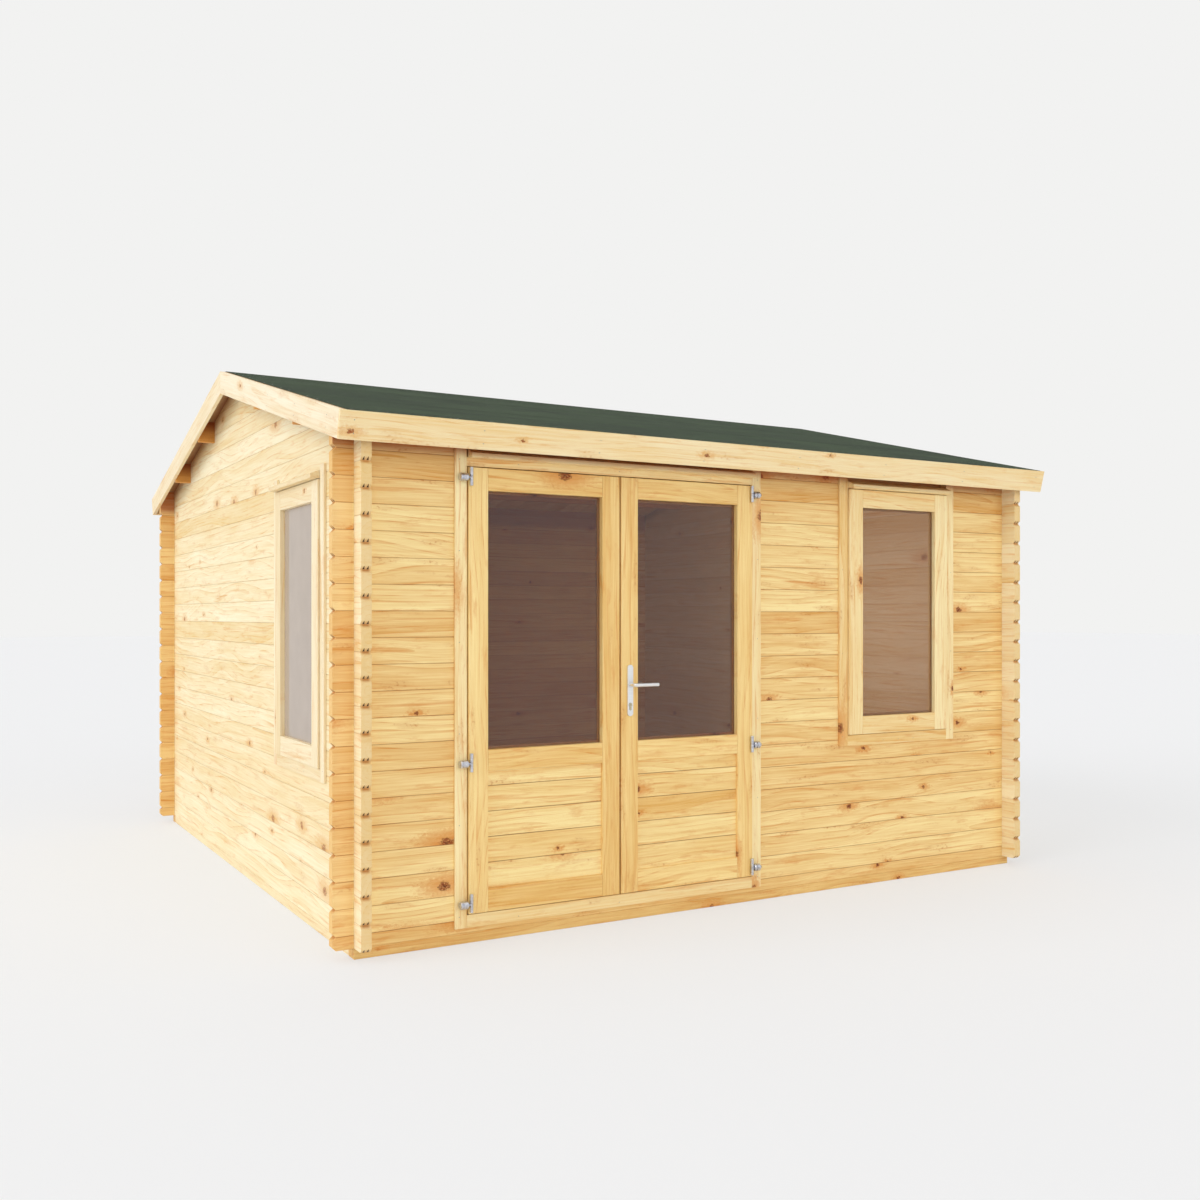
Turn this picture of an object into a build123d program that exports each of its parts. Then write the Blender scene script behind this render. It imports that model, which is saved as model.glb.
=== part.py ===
from build123d import *
import os
from math import ceil, cos, floor, radians, sin, tan

# Log cabin with a pitched roof, double doors and two windows.  Millimetres.
# +X runs along the front, +Y to the back, +Z up; the origin is on the ground
# under the middle of the walls.

os.makedirs("parts", exist_ok=True)

# ---- Logs -----------------------------------------------------------------
log_height = 110.0          # cover height of one log
log_thickness = 44.0
front_log_length = 4000.0   # front and back logs, along X
side_log_length = 4000.0    # side logs, along Y
log_overhang = 90.0         # end of a log past the outer face of the wall it crosses
face_chamfer = 2.0          # eased edges that leave a V along every joint
end_chamfer = 15.0          # bevels on the free end of every log
notch_clearance = 0.5       # side play of a log in the notch it crosses
overcut = 1.0               # how far a cutter runs past the faces it cuts

# ---- Base and floor ---------------------------------------------------------
bearer_height = 45.0
bearer_width = 70.0
joist_width = 45.0
joist_count = 6
floor_thickness = 19.0
floor_gap = 3.0             # round the floor, to the walls

# ---- Roof -------------------------------------------------------------------
roof_pitch = 13.9           # degrees
header_height = 148.0       # door opening to the underside of the roof boards, at the wall's face
roof_board = 19.0
felt = 3.0
eave_overhang = 167.0       # front wall's face to the top edge of the fascia
fascia_width = 120.0
fascia_thickness = 20.0
felt_side = 30.0            # felt stops this far inside the barge boards
felt_eave = 4.0             # and this far inside the fascias
purlin_width = 44.0
purlin_depth = 116.0
ridge_purlin_depth = 100.0
purlin_shares = [0.3445, 0.7058]    # middles of the purlins, as shares of ridge to wall face
pocket_clearance = 0.5

# ---- Doors ------------------------------------------------------------------
door_centre_x = -659.0
leaf_height = 1906.0
leaf_width = 748.0
leaf_thickness = 44.0
meeting_gap = 9.0           # between the two leaves
leaf_gap = 5.0              # leaf to frame
leaf_below = 28.0           # from the opening's lower edge to the leaf
jamb_width = 34.0           # lining beside the leaves, and the least over them
stile_width = 90.0
top_rail_width = 96.0
lock_rail_width = 92.0
bottom_rail_width = 100.0
lock_rail_bottom = 604.0    # above the leaf's lower edge
glass_recess = 26.0         # face of the leaf to the glass
glass_thickness = 4.0
glass_bite = 8.0            # how far glass and panel sit in their grooves
panel_recess = 12.0
panel_thickness = 16.0
panel_board_height = 110.0  # cover of one board, laid from the bottom up
stop_gap = 6.0              # inner face of a leaf to the frame's stop
stop_overlap = 12.0

# ---- Casings ----------------------------------------------------------------
architrave_width = 55.0
architrave_thickness = 12.0
frame_fit = 1.5             # frame lining to the sawn log ends
sash_proud = 10.0           # leaves and sashes stand out from the architrave
casing_rise = 36.0          # side boards run on past the top of the opening
settling_gap = 55.0         # let into the header over doors and windows, for the logs to shrink
settling_depth = 30.0
drip_depth = 54.0           # weather bar over a door or window, from the wall's face
drip_back_height = 38.0
drip_front_height = 20.0

# ---- Windows ----------------------------------------------------------------
sash_width = 697.0
sash_height = 1267.0
sash_thickness = 44.0
sash_gap = 3.0
sash_below = 26.0           # from the opening's lower edge to the sash
sash_rail = 92.0
window_jamb = 24.0
window_head = 20.0          # least lining over the sash
window_glass_recess = 22.0
front_window_side = 844.0   # right wall's face to the middle of the front window
left_window_back = 776.0    # front wall's face to the middle of the left window
catch_height = 704.0        # turn catch inside, above the sash's lower edge
catch_plate = 34.0
catch_plate_width = 26.0
catch_plate_thickness = 6.0
catch_bar = 14.0
catch_reach = 20.0
catch_length = 48.0

# ---- Hinges -----------------------------------------------------------------
knuckle_radius = 7.6
knuckle_length = 40.0
knuckle_standoff = 10.0     # pivot axis to the face of the leaf
hinge_inset = 8.0           # pivot axis in from the leaf's edge
pin_radius = 6.2
pin_below = 42.0            # pin under the knuckle
pin_inside = 25.0           # pin in the knuckle
pin_clearance = 0.1
barrel_radius = 16.5
barrel_length = 34.0
barrel_start = 19.0         # pivot axis to the near end of the barrel
barrel_drop = 8.0           # barrel axis under the knuckle
neck_width = 8.0
foot_height = 20.0          # foot under the barrel, on the architrave
low_hinge = 47.0            # above the leaf's lower edge
middle_hinge = 646.0
high_hinge = 40.0           # below the leaf's upper edge

# ---- Handle -----------------------------------------------------------------
plate_width = 30.0
plate_height = 236.0
plate_thickness = 8.0
plate_above = 929.0         # middle of the plate above the leaf's lower edge
lever_above_plate = 26.0    # lever axis over the plate's middle
lever_to_key = 92.0
lever_length = 125.0
lever_radius = 9.0
lever_reach = 44.0          # middle of the grip from the face of the plate
lever_gap = 1.0             # plate to the end of the lever's neck
spindle_width = 8.0         # square bar through the leaf
spindle_hole = 12.4         # square hole that the spindle turns in, hidden by the neck
mortise = 20.0              # room round the spindle in the leaf
key_radius = 8.5
key_tail_width = 10.0
key_tail = 24.5             # lower end of the lock cylinder below its middle
key_proud = 2.0
key_clearance = 0.1

# ---- Derived ----------------------------------------------------------------
half_width = front_log_length / 2 - log_overhang
half_depth = side_log_length / 2 - log_overhang
half_log = bearer_height + log_height / 2       # top of the sawn log under the front and back walls
door_log_count = ceil((leaf_below + leaf_height + leaf_gap + jamb_width + frame_fit) / log_height)
window_log_count = ceil((sash_below + sash_height + sash_gap + window_head) / log_height)
wall_top = half_log + log_height * door_log_count + header_height
slope = tan(radians(roof_pitch))
apex_z = wall_top + slope * half_depth
trim_top = roof_board + felt
eave_y = half_depth + eave_overhang
slope_length = (eave_y - trim_top * sin(radians(roof_pitch))) / cos(radians(roof_pitch))
boards_length = slope_length - fascia_thickness
roof_half_length = front_log_length / 2
side_joints = [bearer_height + log_height * i for i in range(floor((apex_z - bearer_height) / log_height) + 1)]
front_joints = [bearer_height] + [half_log + log_height * i
                                  for i in range(floor((wall_top - half_log) / log_height) + 1)]


# ---- Helpers ----------------------------------------------------------------
def slab(x0, x1, y0, y1, z0, z1):
    """Box between two corners."""
    middle = ((x0 + x1) / 2, (y0 + y1) / 2, (z0 + z1) / 2)
    return Pos(*middle) * Box(x1 - x0, y1 - y0, z1 - z0)


def along_x(section, x0, x1):
    """Solid with a constant section, drawn in (y, z), from x0 to x1."""
    return extrude(Plane.YZ.offset(x0) * section, amount=x1 - x0, dir=(1, 0, 0))


def along_y(elevation, y0, y1):
    """Solid with a constant outline, drawn in (x, z), from y0 to y1."""
    return extrude(Plane.XZ.offset(-y0) * elevation, amount=y1 - y0, dir=(0, 1, 0))


def ring(outer, inner, y0, y1):
    """Rectangular ring in the XZ plane; a rectangle is (x0, x1, z0, z1)."""
    return (slab(outer[0], outer[1], y0, y1, outer[2], outer[3])
            - slab(inner[0], inner[1], y0 - overcut, y1 + overcut, inner[2], inner[3]))


def grown(rectangle, by):
    """Rectangle with every side moved out by a distance."""
    return (rectangle[0] - by, rectangle[1] + by, rectangle[2] - by, rectangle[3] + by)


def turned(wall, side):
    """Take a wall drawn facing -Y with its face on y = 0 to its side of the cabin."""
    if side in ("front", "back"):
        stood = Pos(0, -half_depth, 0) * wall
    else:
        stood = Pos(0, -half_width, 0) * wall
    angles = {"front": 0, "right": 90, "back": 180, "left": -90}
    return Rot(0, 0, angles[side]) * stood


def save(node, *solids):
    """Write one named piece."""
    shape = solids[0] if len(solids) == 1 else Compound(children=list(solids))
    shape.label = node
    export_step(shape, f"parts/{node}.step")


# ---- Log walls ----------------------------------------------------------------
def notched_edge(at, inward, size, joints, low, high):
    """Points up one edge of a stack of logs, with a V of the given size at each joint."""
    if size == 0:
        return [(at, low), (at, high)]
    points = []
    if low in joints:
        points += [(at + inward * size, low), (at, low + size)]
    else:
        points += [(at, low)]
    for z in joints:
        if low < z < high:
            points += [(at, z - size), (at + inward * size, z), (at, z + size)]
    if high in joints:
        points += [(at, high - size), (at + inward * size, high)]
    else:
        points += [(at, high)]
    return points


def log_stack(joints, low, high, start, end, free=(), bevel_top=False):
    """A stack of logs along X, face on y = 0: its section meets its elevation."""
    outer = notched_edge(0, 1, face_chamfer, joints, low, high)
    top = high + slope * log_thickness if bevel_top else high
    section = Polygon(*outer, (log_thickness, top), (log_thickness, low), align=None)
    left = notched_edge(start, 1, end_chamfer if "start" in free else 0, joints, low, high)
    right = notched_edge(end, -1, end_chamfer if "end" in free else 0, joints, low, high)
    if bevel_top:
        left.append((start, top))
        right.append((end, top))
    elevation = Polygon(*left, *reversed(right), align=None)
    return along_x(section, start, end) & along_y(elevation, 0, log_thickness)


def crossing_notches(cores, low, high, half_span):
    """Notches that the crossing wall's logs pass through, at both corners."""
    cutters = []
    for core_low, core_high in cores:
        if core_high > low and core_low < high:
            for side in (-1, 1):
                x0 = side * half_span
                x1 = side * (half_span - log_thickness)
                cutters.append(slab(min(x0, x1) - notch_clearance, max(x0, x1) + notch_clearance,
                                    -overcut, log_thickness + overcut, core_low, core_high))
    return cutters


def cores(joints, top):
    """Heights of a wall's logs where they are notched from above and below."""
    quarter = log_height / 4
    spans = []
    for index, z in enumerate(joints):
        above = joints[index + 1] if index + 1 < len(joints) else top
        low = z if index == 0 else z + quarter
        high = above if index + 1 == len(joints) else above - quarter
        if high > low:
            spans.append((low, high))
    return spans


roof_room = wall_top + slope * log_height       # above every part of a wall's top at a corner
front_cores = cores(front_joints, roof_room)
side_cores = cores([z for z in side_joints if z < wall_top - log_height / 4], wall_top)
side_cores[0] = (bearer_height + log_height / 4, side_cores[0][1])
side_cores[-1] = (side_cores[-1][0], side_cores[-1][0] + log_height / 2)

under_roof = Polygon((-side_log_length, 0), (side_log_length, 0),
                     (side_log_length, apex_z - slope * side_log_length), (0, apex_z),
                     (-side_log_length, apex_z - slope * side_log_length), align=None)
room_below_roof = along_y(under_roof, 0, log_thickness)


def purlin_section(y, depth, width):
    """Section of a purlin in (y, z), its top planed to the roof's slope."""
    bottom = apex_z - slope * abs(y) - depth
    points = [(y - width / 2, bottom), (y + width / 2, bottom),
              (y + width / 2, apex_z - slope * abs(y + width / 2))]
    if abs(y) < width / 2:
        points.append((0, apex_z))
    points.append((y - width / 2, apex_z - slope * abs(y - width / 2)))
    return Polygon(*points, align=None)


purlins = [(0, ridge_purlin_depth)]
for share in purlin_shares:
    purlins += [(-share * half_depth, purlin_depth), (share * half_depth, purlin_depth)]


def side_wall(low, high, start=-side_log_length / 2, end=side_log_length / 2):
    """Part of a gable wall, in its own flat frame."""
    free = [name for name, at in (("start", start), ("end", end)) if abs(at) == side_log_length / 2]
    wall = log_stack(side_joints, low, high, start, end, free)
    wall -= crossing_notches(front_cores, low, high, half_depth)
    if high > wall_top:
        wall &= room_below_roof
        for y, depth in purlins:
            pocket = purlin_section(y, depth, purlin_width + 2 * pocket_clearance)
            wall -= along_y(pocket, -overcut, log_thickness + overcut)
    return wall


def front_wall(low, high, start=-front_log_length / 2, end=front_log_length / 2):
    """Part of an eaves wall, in its own flat frame."""
    free = [name for name, at in (("start", start), ("end", end)) if abs(at) == front_log_length / 2]
    wall = log_stack(front_joints, low, high, start, end, free, bevel_top=high == wall_top)
    wall -= crossing_notches(side_cores, low, high, half_width)
    return wall


# ---- Openings in the walls: (x0, x1, z0, z1) in each wall's flat frame ---------
def opening(centre, width, first_joint, logs, joints):
    """Rectangle sawn through whole logs."""
    return (centre - width / 2, centre + width / 2, joints[first_joint], joints[first_joint + logs])


leaves_width = 2 * leaf_width + meeting_gap
door_hole = opening(door_centre_x, leaves_width + 2 * (leaf_gap + jamb_width + frame_fit),
                    1, door_log_count, front_joints)
window_width = sash_width + 2 * (sash_gap + window_jamb + frame_fit)
sill_log = door_log_count - window_log_count      # windows and doors end at the same log
front_window_hole = opening(half_width - front_window_side, window_width, 1 + sill_log, window_log_count, front_joints)
left_window_hole = opening(half_depth - left_window_back, window_width, sill_log, window_log_count, side_joints)

door_bottom = door_hole[2]
door_top = door_hole[3]
save("front_wall_base", turned(front_wall(bearer_height, door_bottom), "front"))
save("front_wall_left", turned(front_wall(door_bottom, door_top, end=door_hole[0]), "front"))
save("front_wall_lower_right",
     turned(front_wall(door_bottom, front_window_hole[2], start=door_hole[1]), "front"))
save("front_wall_middle",
     turned(front_wall(front_window_hole[2], door_top, start=door_hole[1], end=front_window_hole[0]), "front"))
save("front_wall_right",
     turned(front_wall(front_window_hole[2], door_top, start=front_window_hole[1]), "front"))
header = front_wall(door_top, wall_top)
for x0, x1 in ((door_hole[0] + jamb_width, door_hole[1] - jamb_width),
               (front_window_hole[0] + window_jamb, front_window_hole[1] - window_jamb)):
    header -= slab(x0, x1, -overcut, settling_depth, door_top - overcut, door_top + settling_gap)
save("front_wall_header", turned(header, "front"))
save("back_wall", turned(front_wall(bearer_height, wall_top), "back"))

window_bottom = left_window_hole[2]
window_top = left_window_hole[3]
save("left_wall_lower", turned(side_wall(bearer_height, window_bottom), "left"))
save("left_wall_front", turned(side_wall(window_bottom, window_top, start=left_window_hole[1]), "left"))
save("left_wall_rear", turned(side_wall(window_bottom, window_top, end=left_window_hole[0]), "left"))
save("left_gable", turned(side_wall(window_top, apex_z), "left"))
save("right_wall", turned(side_wall(bearer_height, window_top), "right"))
save("right_gable", turned(side_wall(window_top, apex_z), "right"))

# ---- Base and floor -----------------------------------------------------------
inner_x = half_width - bearer_width
inner_y = half_depth - bearer_width
base = slab(-half_width, half_width, -half_depth, half_depth, 0, bearer_height)
base -= slab(-inner_x, inner_x, -inner_y, inner_y, -overcut, bearer_height + overcut)
joist_pitch = 2 * inner_x / (joist_count + 1)
for index in range(joist_count):
    x = -inner_x + joist_pitch * (index + 1)
    base += slab(x - joist_width / 2, x + joist_width / 2, -inner_y, inner_y, 0, bearer_height)
save("bearer_frame", base)
floor_x = half_width - log_thickness - floor_gap
floor_y = half_depth - log_thickness - floor_gap
save("floor_boards", slab(-floor_x, floor_x, -floor_y, floor_y, bearer_height, bearer_height + floor_thickness))


# ---- Roof ---------------------------------------------------------------------
def slope_point(along, above, side):
    """Point in (y, z), measured down a slope from the ridge and up from the boards' underside."""
    pitch = radians(roof_pitch)
    return (side * (along * cos(pitch) + above * sin(pitch)),
            apex_z - along * sin(pitch) + above * cos(pitch))


def roof_layer(x0, x1, bottom, top, start, end, side):
    """Slab on one slope; a start of 0 is the plumb cut on the ridge line."""
    if start == 0:
        head = [slope_point(-bottom * slope, bottom, side), slope_point(-top * slope, top, side)]
    else:
        head = [slope_point(start, bottom, side), slope_point(start, top, side)]
    tail = [slope_point(end, top, side), slope_point(end, bottom, side)]
    section = Polygon(*head, *tail, align=None)
    return along_x(section, x0, x1)


trim_bottom = trim_top - fascia_width
roof_end = roof_half_length + fascia_thickness
felt_x = roof_end - felt_side
for name, side in (("front", -1), ("back", 1)):
    save(f"roof_boards_{name}",
         roof_layer(-roof_half_length, roof_half_length, 0, roof_board, 0, boards_length, side))
    save(f"{name}_fascia",
         roof_layer(-roof_end, roof_end, trim_bottom, trim_top - felt, boards_length, slope_length, side))
    save(f"{name}_roof_felt",
         roof_layer(-felt_x, felt_x, roof_board, trim_top, 0, slope_length - felt_eave, side))
    save(f"{name}_barge_boards",
         *[roof_layer(x0, x0 + fascia_thickness, trim_bottom, trim_top - felt, 0, boards_length, side)
           for x0 in (-roof_end, roof_half_length)])


def purlin(y, depth):
    """Beam under the roof boards, from one barge board to the other."""
    section = purlin_section(y, depth, purlin_width)
    return along_x(section, -roof_half_length, roof_half_length)


save("ridge_purlin", purlin(*purlins[0]))
save("front_purlins", purlin(*purlins[1]), purlin(*purlins[3]))
save("back_purlins", purlin(*purlins[2]), purlin(*purlins[4]))


# ---- Casings, drawn facing -Y with the wall's face on y = 0 ---------------------
def casing(leaf, hole, gap, stop_y):
    """Frame lining, an architrave on each face and the stop behind the leaf."""
    clear = grown(leaf, gap)
    lining = ring(grown(hole, -frame_fit), clear, -architrave_thickness, log_thickness + architrave_thickness)
    trim = grown(clear, architrave_width)
    under_bar = (trim[0], trim[1], trim[2], clear[3] + drip_back_height)
    front = ring(under_bar, clear, -architrave_thickness, 0)
    for x0, x1 in ((trim[0], clear[0]), (clear[1], trim[1])):
        front += slab(x0, x1, -architrave_thickness, 0, trim[2], hole[3] + casing_rise)
    back = ring(trim, clear, log_thickness, log_thickness + architrave_thickness)
    stop = ring(clear, grown(leaf, -stop_overlap), stop_y, log_thickness + architrave_thickness)
    return lining + front + back + stop


def drip_bar(x0, x1, bottom):
    """Weather bar with a sloping top."""
    back = -architrave_thickness
    section = Polygon((back, bottom), (back, bottom + drip_back_height),
                      (-drip_depth, bottom + drip_front_height), (-drip_depth, bottom), align=None)
    return along_x(section, x0, x1)


leaf_face = -architrave_thickness - sash_proud
leaf_back = leaf_face + leaf_thickness


def pane_groove(sight, recess, thickness):
    """Room in a frame for a sheet that sits behind its face."""
    edge = grown(sight, glass_bite)
    y0 = leaf_face + recess
    return slab(edge[0], edge[1], y0, y0 + thickness, edge[2], edge[3])


# ---- Windows ------------------------------------------------------------------
def window(side, hole):
    """Casing, sash, glass, weather bar and catch of one window, each turned to its wall."""
    centre = (hole[0] + hole[1]) / 2
    bottom = hole[2] + sash_below
    leaf = (centre - sash_width / 2, centre + sash_width / 2, bottom, bottom + sash_height)
    frame = casing(leaf, hole, sash_gap, leaf_face + sash_thickness)
    sight = grown(leaf, -sash_rail)
    sash = ring(leaf, sight, leaf_face, leaf_face + sash_thickness)
    sash -= pane_groove(sight, window_glass_recess, glass_thickness)
    edge = grown(sight, glass_bite)
    glass_y = leaf_face + window_glass_recess
    glass = slab(edge[0], edge[1], glass_y, glass_y + glass_thickness, edge[2], edge[3])
    drip = drip_bar(leaf[0], leaf[1], leaf[3] + sash_gap)
    stile = leaf[0] + sash_rail / 2
    catch_z = leaf[2] + catch_height
    back = leaf_face + sash_thickness
    catch = slab(stile - catch_plate_width / 2, stile + catch_plate_width / 2,
                 back, back + catch_plate_thickness, catch_z - catch_plate / 2, catch_z + catch_plate / 2)
    catch += slab(stile - catch_bar / 2, stile - catch_bar / 2 + catch_length,
                  back + catch_plate_thickness, back + catch_reach, catch_z - catch_bar / 2, catch_z + catch_bar / 2)
    return [turned(piece, side) for piece in (frame, sash, glass, drip, catch)]


drips = []
panes = []
catches = []
for name, side, hole in (("front", "front", front_window_hole), ("left", "left", left_window_hole)):
    frame, sash, glass, drip, catch = window(side, hole)
    save(f"{name}_window_frame", frame)
    save(f"{name}_window_sash", sash)
    panes.append(glass)
    drips.append(drip)
    catches.append(catch)
save("window_glass", *panes)
save("window_catches", *catches)

# ---- Door frame -----------------------------------------------------------------
leaf_bottom = door_bottom + leaf_below
leaf_top = leaf_bottom + leaf_height
both_leaves = (door_centre_x - leaves_width / 2, door_centre_x + leaves_width / 2, leaf_bottom, leaf_top)
save("door_frame", turned(casing(both_leaves, door_hole, leaf_gap, leaf_back + stop_gap), "front"))
drips.append(turned(drip_bar(both_leaves[0], both_leaves[1], leaf_top + leaf_gap + jamb_width), "front"))
save("drip_bars", *drips)


# ---- Door leaves ----------------------------------------------------------------
def panel(x0, x1, z0, z1, z_sight0, z_sight1):
    """Tongued boards across a leaf, with a V outside at every joint."""
    joints = [z_sight0 + panel_board_height * index
              for index in range(1, ceil((z_sight1 - z_sight0) / panel_board_height))]
    y0 = leaf_face + panel_recess
    outer = notched_edge(y0, 1, face_chamfer, joints, z0, z1)
    back_y = y0 + panel_thickness
    section = Polygon(*outer, (back_y, z1), (back_y, z0), align=None)
    return along_x(section, x0, x1)


def leaf_pieces(x0):
    """Framed door leaf, its glass and its boarded panel."""
    x1 = x0 + leaf_width
    outline = (x0, x1, leaf_bottom, leaf_top)
    lock_rail_z = leaf_bottom + lock_rail_bottom
    upper = (x0 + stile_width, x1 - stile_width, lock_rail_z + lock_rail_width, leaf_top - top_rail_width)
    lower = (x0 + stile_width, x1 - stile_width, leaf_bottom + bottom_rail_width, lock_rail_z)
    frame = slab(x0, x1, leaf_face, leaf_back, leaf_bottom, leaf_top)
    for sight, recess, thickness in ((upper, glass_recess, glass_thickness), (lower, panel_recess, panel_thickness)):
        frame -= slab(sight[0], sight[1], leaf_face - overcut, leaf_back + overcut, sight[2], sight[3])
        frame -= pane_groove(sight, recess, thickness)
    glass_edge = grown(upper, glass_bite)
    glass_y = leaf_face + glass_recess
    glass = slab(glass_edge[0], glass_edge[1], glass_y, glass_y + glass_thickness, glass_edge[2], glass_edge[3])
    edge = grown(lower, glass_bite)
    boards = panel(edge[0], edge[1], edge[2], edge[3], lower[2], lower[3])
    return frame, glass, boards


# ---- Hinges ---------------------------------------------------------------------
hinge_y = leaf_face - knuckle_standoff


def frame_hinge(x, z, out):
    """Lower half: the pin, and a barrel that carries it on a foot on the architrave."""
    pin = Pos(x, hinge_y, z + (pin_inside - pin_below) / 2) * Cylinder(pin_radius, pin_below + pin_inside)
    axis = Pos(x, hinge_y, z - barrel_drop) * Rot(0, 90 * out, 0)
    neck = axis * Pos(0, 0, barrel_start / 2) * Box(neck_width, neck_width, barrel_start)
    barrel = axis * Pos(0, 0, barrel_start + barrel_length / 2) * Cylinder(barrel_radius, barrel_length)
    foot_x = sorted((x + out * barrel_start, x + out * (barrel_start + barrel_length)))
    foot = slab(*foot_x, hinge_y, -architrave_thickness,
                z - barrel_drop - foot_height / 2, z - barrel_drop + foot_height / 2)
    return pin + neck + barrel + foot


def leaf_hinge(x, z):
    """Upper half: a knuckle on the face of the leaf, bored for the pin."""
    bottom = z + pin_clearance
    top = z + knuckle_length
    knuckle = Pos(x, hinge_y, (bottom + top) / 2) * Cylinder(knuckle_radius, top - bottom)
    web = slab(x - knuckle_radius, x + knuckle_radius, hinge_y, leaf_face, bottom, top)
    bore_top = z + pin_inside + pin_clearance
    bore = Pos(x, hinge_y, (z + bore_top) / 2) * Cylinder(pin_radius + pin_clearance, bore_top - z)
    return knuckle + web - bore


left_pivot_x = both_leaves[0] + hinge_inset
right_pivot_x = both_leaves[1] - hinge_inset
hinge_heights = [low_hinge, middle_hinge, leaf_height - high_hinge]
frame_hinges = []
for pivot_x, out in ((left_pivot_x, -1), (right_pivot_x, 1)):
    for height in hinge_heights:
        frame_hinges.append(turned(frame_hinge(pivot_x, leaf_bottom + height, out), "front"))
save("hinge_barrels", *frame_hinges)
for name, pivot_x in (("left", left_pivot_x), ("right", right_pivot_x)):
    save(f"{name}_door_knuckles",
         *[turned(leaf_hinge(pivot_x, leaf_bottom + height), "front") for height in hinge_heights])

# ---- Handle -----------------------------------------------------------------------
handle_x = both_leaves[1] - leaf_width + stile_width / 2
plate_z = leaf_bottom + plate_above
lever_z = plate_z + lever_above_plate
key_z = lever_z - lever_to_key


def square_bar(width, y0, y1):
    """Square bar or hole along Y on the lever's axis."""
    return slab(handle_x - width / 2, handle_x + width / 2, y0, y1, lever_z - width / 2, lever_z + width / 2)


def key_shape(grow, y0, y1):
    """Lock cylinder: round above, with a narrow tail."""
    head = Pos(handle_x, (y0 + y1) / 2, key_z) * Rot(90, 0, 0) * Cylinder(key_radius + grow, y1 - y0)
    tail = slab(handle_x - key_tail_width / 2 - grow, handle_x + key_tail_width / 2 + grow,
                y0, y1, key_z - key_tail - grow, key_z)
    return head + tail


def handle_plate(y0, y1):
    """Rounded plate with holes for the spindle and the lock."""
    outline = SlotOverall(plate_height, plate_width, rotation=90)
    plate = Pos(handle_x, 0, plate_z) * along_y(outline, y0, y1)
    plate -= square_bar(spindle_hole, y0 - overcut, y1 + overcut)
    plate -= key_shape(key_clearance, y0 - overcut, y1 + overcut)
    return plate


def lever(face_y, out):
    """Lever on one side: a neck and a grip with a mitred elbow, pointing to the hinges."""
    start_y = face_y + out * lever_gap
    grip_y = face_y + out * lever_reach
    path = Polyline((handle_x, start_y, lever_z), (handle_x, grip_y, lever_z),
                    (handle_x + lever_length, grip_y, lever_z))
    start = Plane(origin=(handle_x, start_y, lever_z), z_dir=(0, out, 0))
    return sweep(start * Circle(lever_radius), path=path, transition=Transition.RIGHT)


outer_plate_face = leaf_face - plate_thickness
inner_plate_face = leaf_back + plate_thickness
spindle = square_bar(spindle_width, outer_plate_face - lever_radius, inner_plate_face + lever_radius)
levers = lever(outer_plate_face, -1) + lever(inner_plate_face, 1) + spindle
lock = key_shape(0, outer_plate_face - key_proud, inner_plate_face + key_proud)
lock_room = slab(handle_x - mortise / 2, handle_x + mortise / 2, leaf_face - overcut, leaf_back + overcut,
                 key_z - key_tail - key_clearance, lever_z + mortise / 2)

for name, x0 in (("left", both_leaves[0]), ("right", both_leaves[1] - leaf_width)):
    frame, glass, boards = leaf_pieces(x0)
    if name == "right":
        frame -= lock_room
    save(f"{name}_door_leaf", turned(frame, "front"))
    save(f"{name}_door_glass", turned(glass, "front"))
    save(f"{name}_door_panel", turned(boards, "front"))
save("handle_plates", turned(handle_plate(outer_plate_face, leaf_face), "front"),
     turned(handle_plate(leaf_back, inner_plate_face), "front"))
save("lock_cylinder", turned(lock, "front"))
save("door_levers", turned(levers, "front"))
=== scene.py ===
import bpy, math
from mathutils import Matrix, Vector


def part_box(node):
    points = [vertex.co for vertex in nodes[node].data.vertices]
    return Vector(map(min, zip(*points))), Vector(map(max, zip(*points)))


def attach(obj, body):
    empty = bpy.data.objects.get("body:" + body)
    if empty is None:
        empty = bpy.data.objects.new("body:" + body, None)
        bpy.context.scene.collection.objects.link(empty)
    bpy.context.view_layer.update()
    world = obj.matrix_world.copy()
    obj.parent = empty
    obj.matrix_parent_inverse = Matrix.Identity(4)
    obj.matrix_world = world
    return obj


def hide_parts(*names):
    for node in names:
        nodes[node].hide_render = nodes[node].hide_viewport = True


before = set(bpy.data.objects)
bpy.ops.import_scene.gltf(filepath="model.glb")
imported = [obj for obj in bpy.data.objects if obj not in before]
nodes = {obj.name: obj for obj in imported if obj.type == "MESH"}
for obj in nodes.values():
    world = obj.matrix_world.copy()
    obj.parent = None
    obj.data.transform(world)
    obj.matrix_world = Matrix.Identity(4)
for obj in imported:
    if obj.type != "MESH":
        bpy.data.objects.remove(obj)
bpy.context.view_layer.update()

# ---- Camera -------------------------------------------------------------------
# Eye height in front of the left corner, level, looking at the doors, so that
# the left gable wall and the front are both seen.
camera_data = bpy.data.cameras.new("camera")
camera = bpy.data.objects.new("camera", camera_data)
bpy.context.collection.objects.link(camera)
bpy.context.scene.camera = camera
camera.location = (-3.483, -6.629, 1.3995)
camera.rotation_euler = (math.radians(90), 0, math.radians(-30.04))
camera_data.sensor_width = 36
camera_data.lens = 35.943
camera_data.shift_y = 0.0132
camera_data.clip_end = 200
bpy.context.scene.view_settings.view_transform = "Standard"

# ---- Studio -------------------------------------------------------------------
# Soft lamps from the left, the front and above, one inside the cabin that lights
# its right wall, an even pale room round them, and a plain pale floor.


def linear(code):
    """Colour written as sRGB hex, as the linear colour that nodes and lamps take."""
    parts = [int(code[i:i + 2], 16) / 255 for i in (1, 3, 5)]
    return tuple(c / 12.92 if c <= 0.04045 else ((c + 0.055) / 1.055) ** 2.4 for c in parts) + (1.0,)


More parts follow.
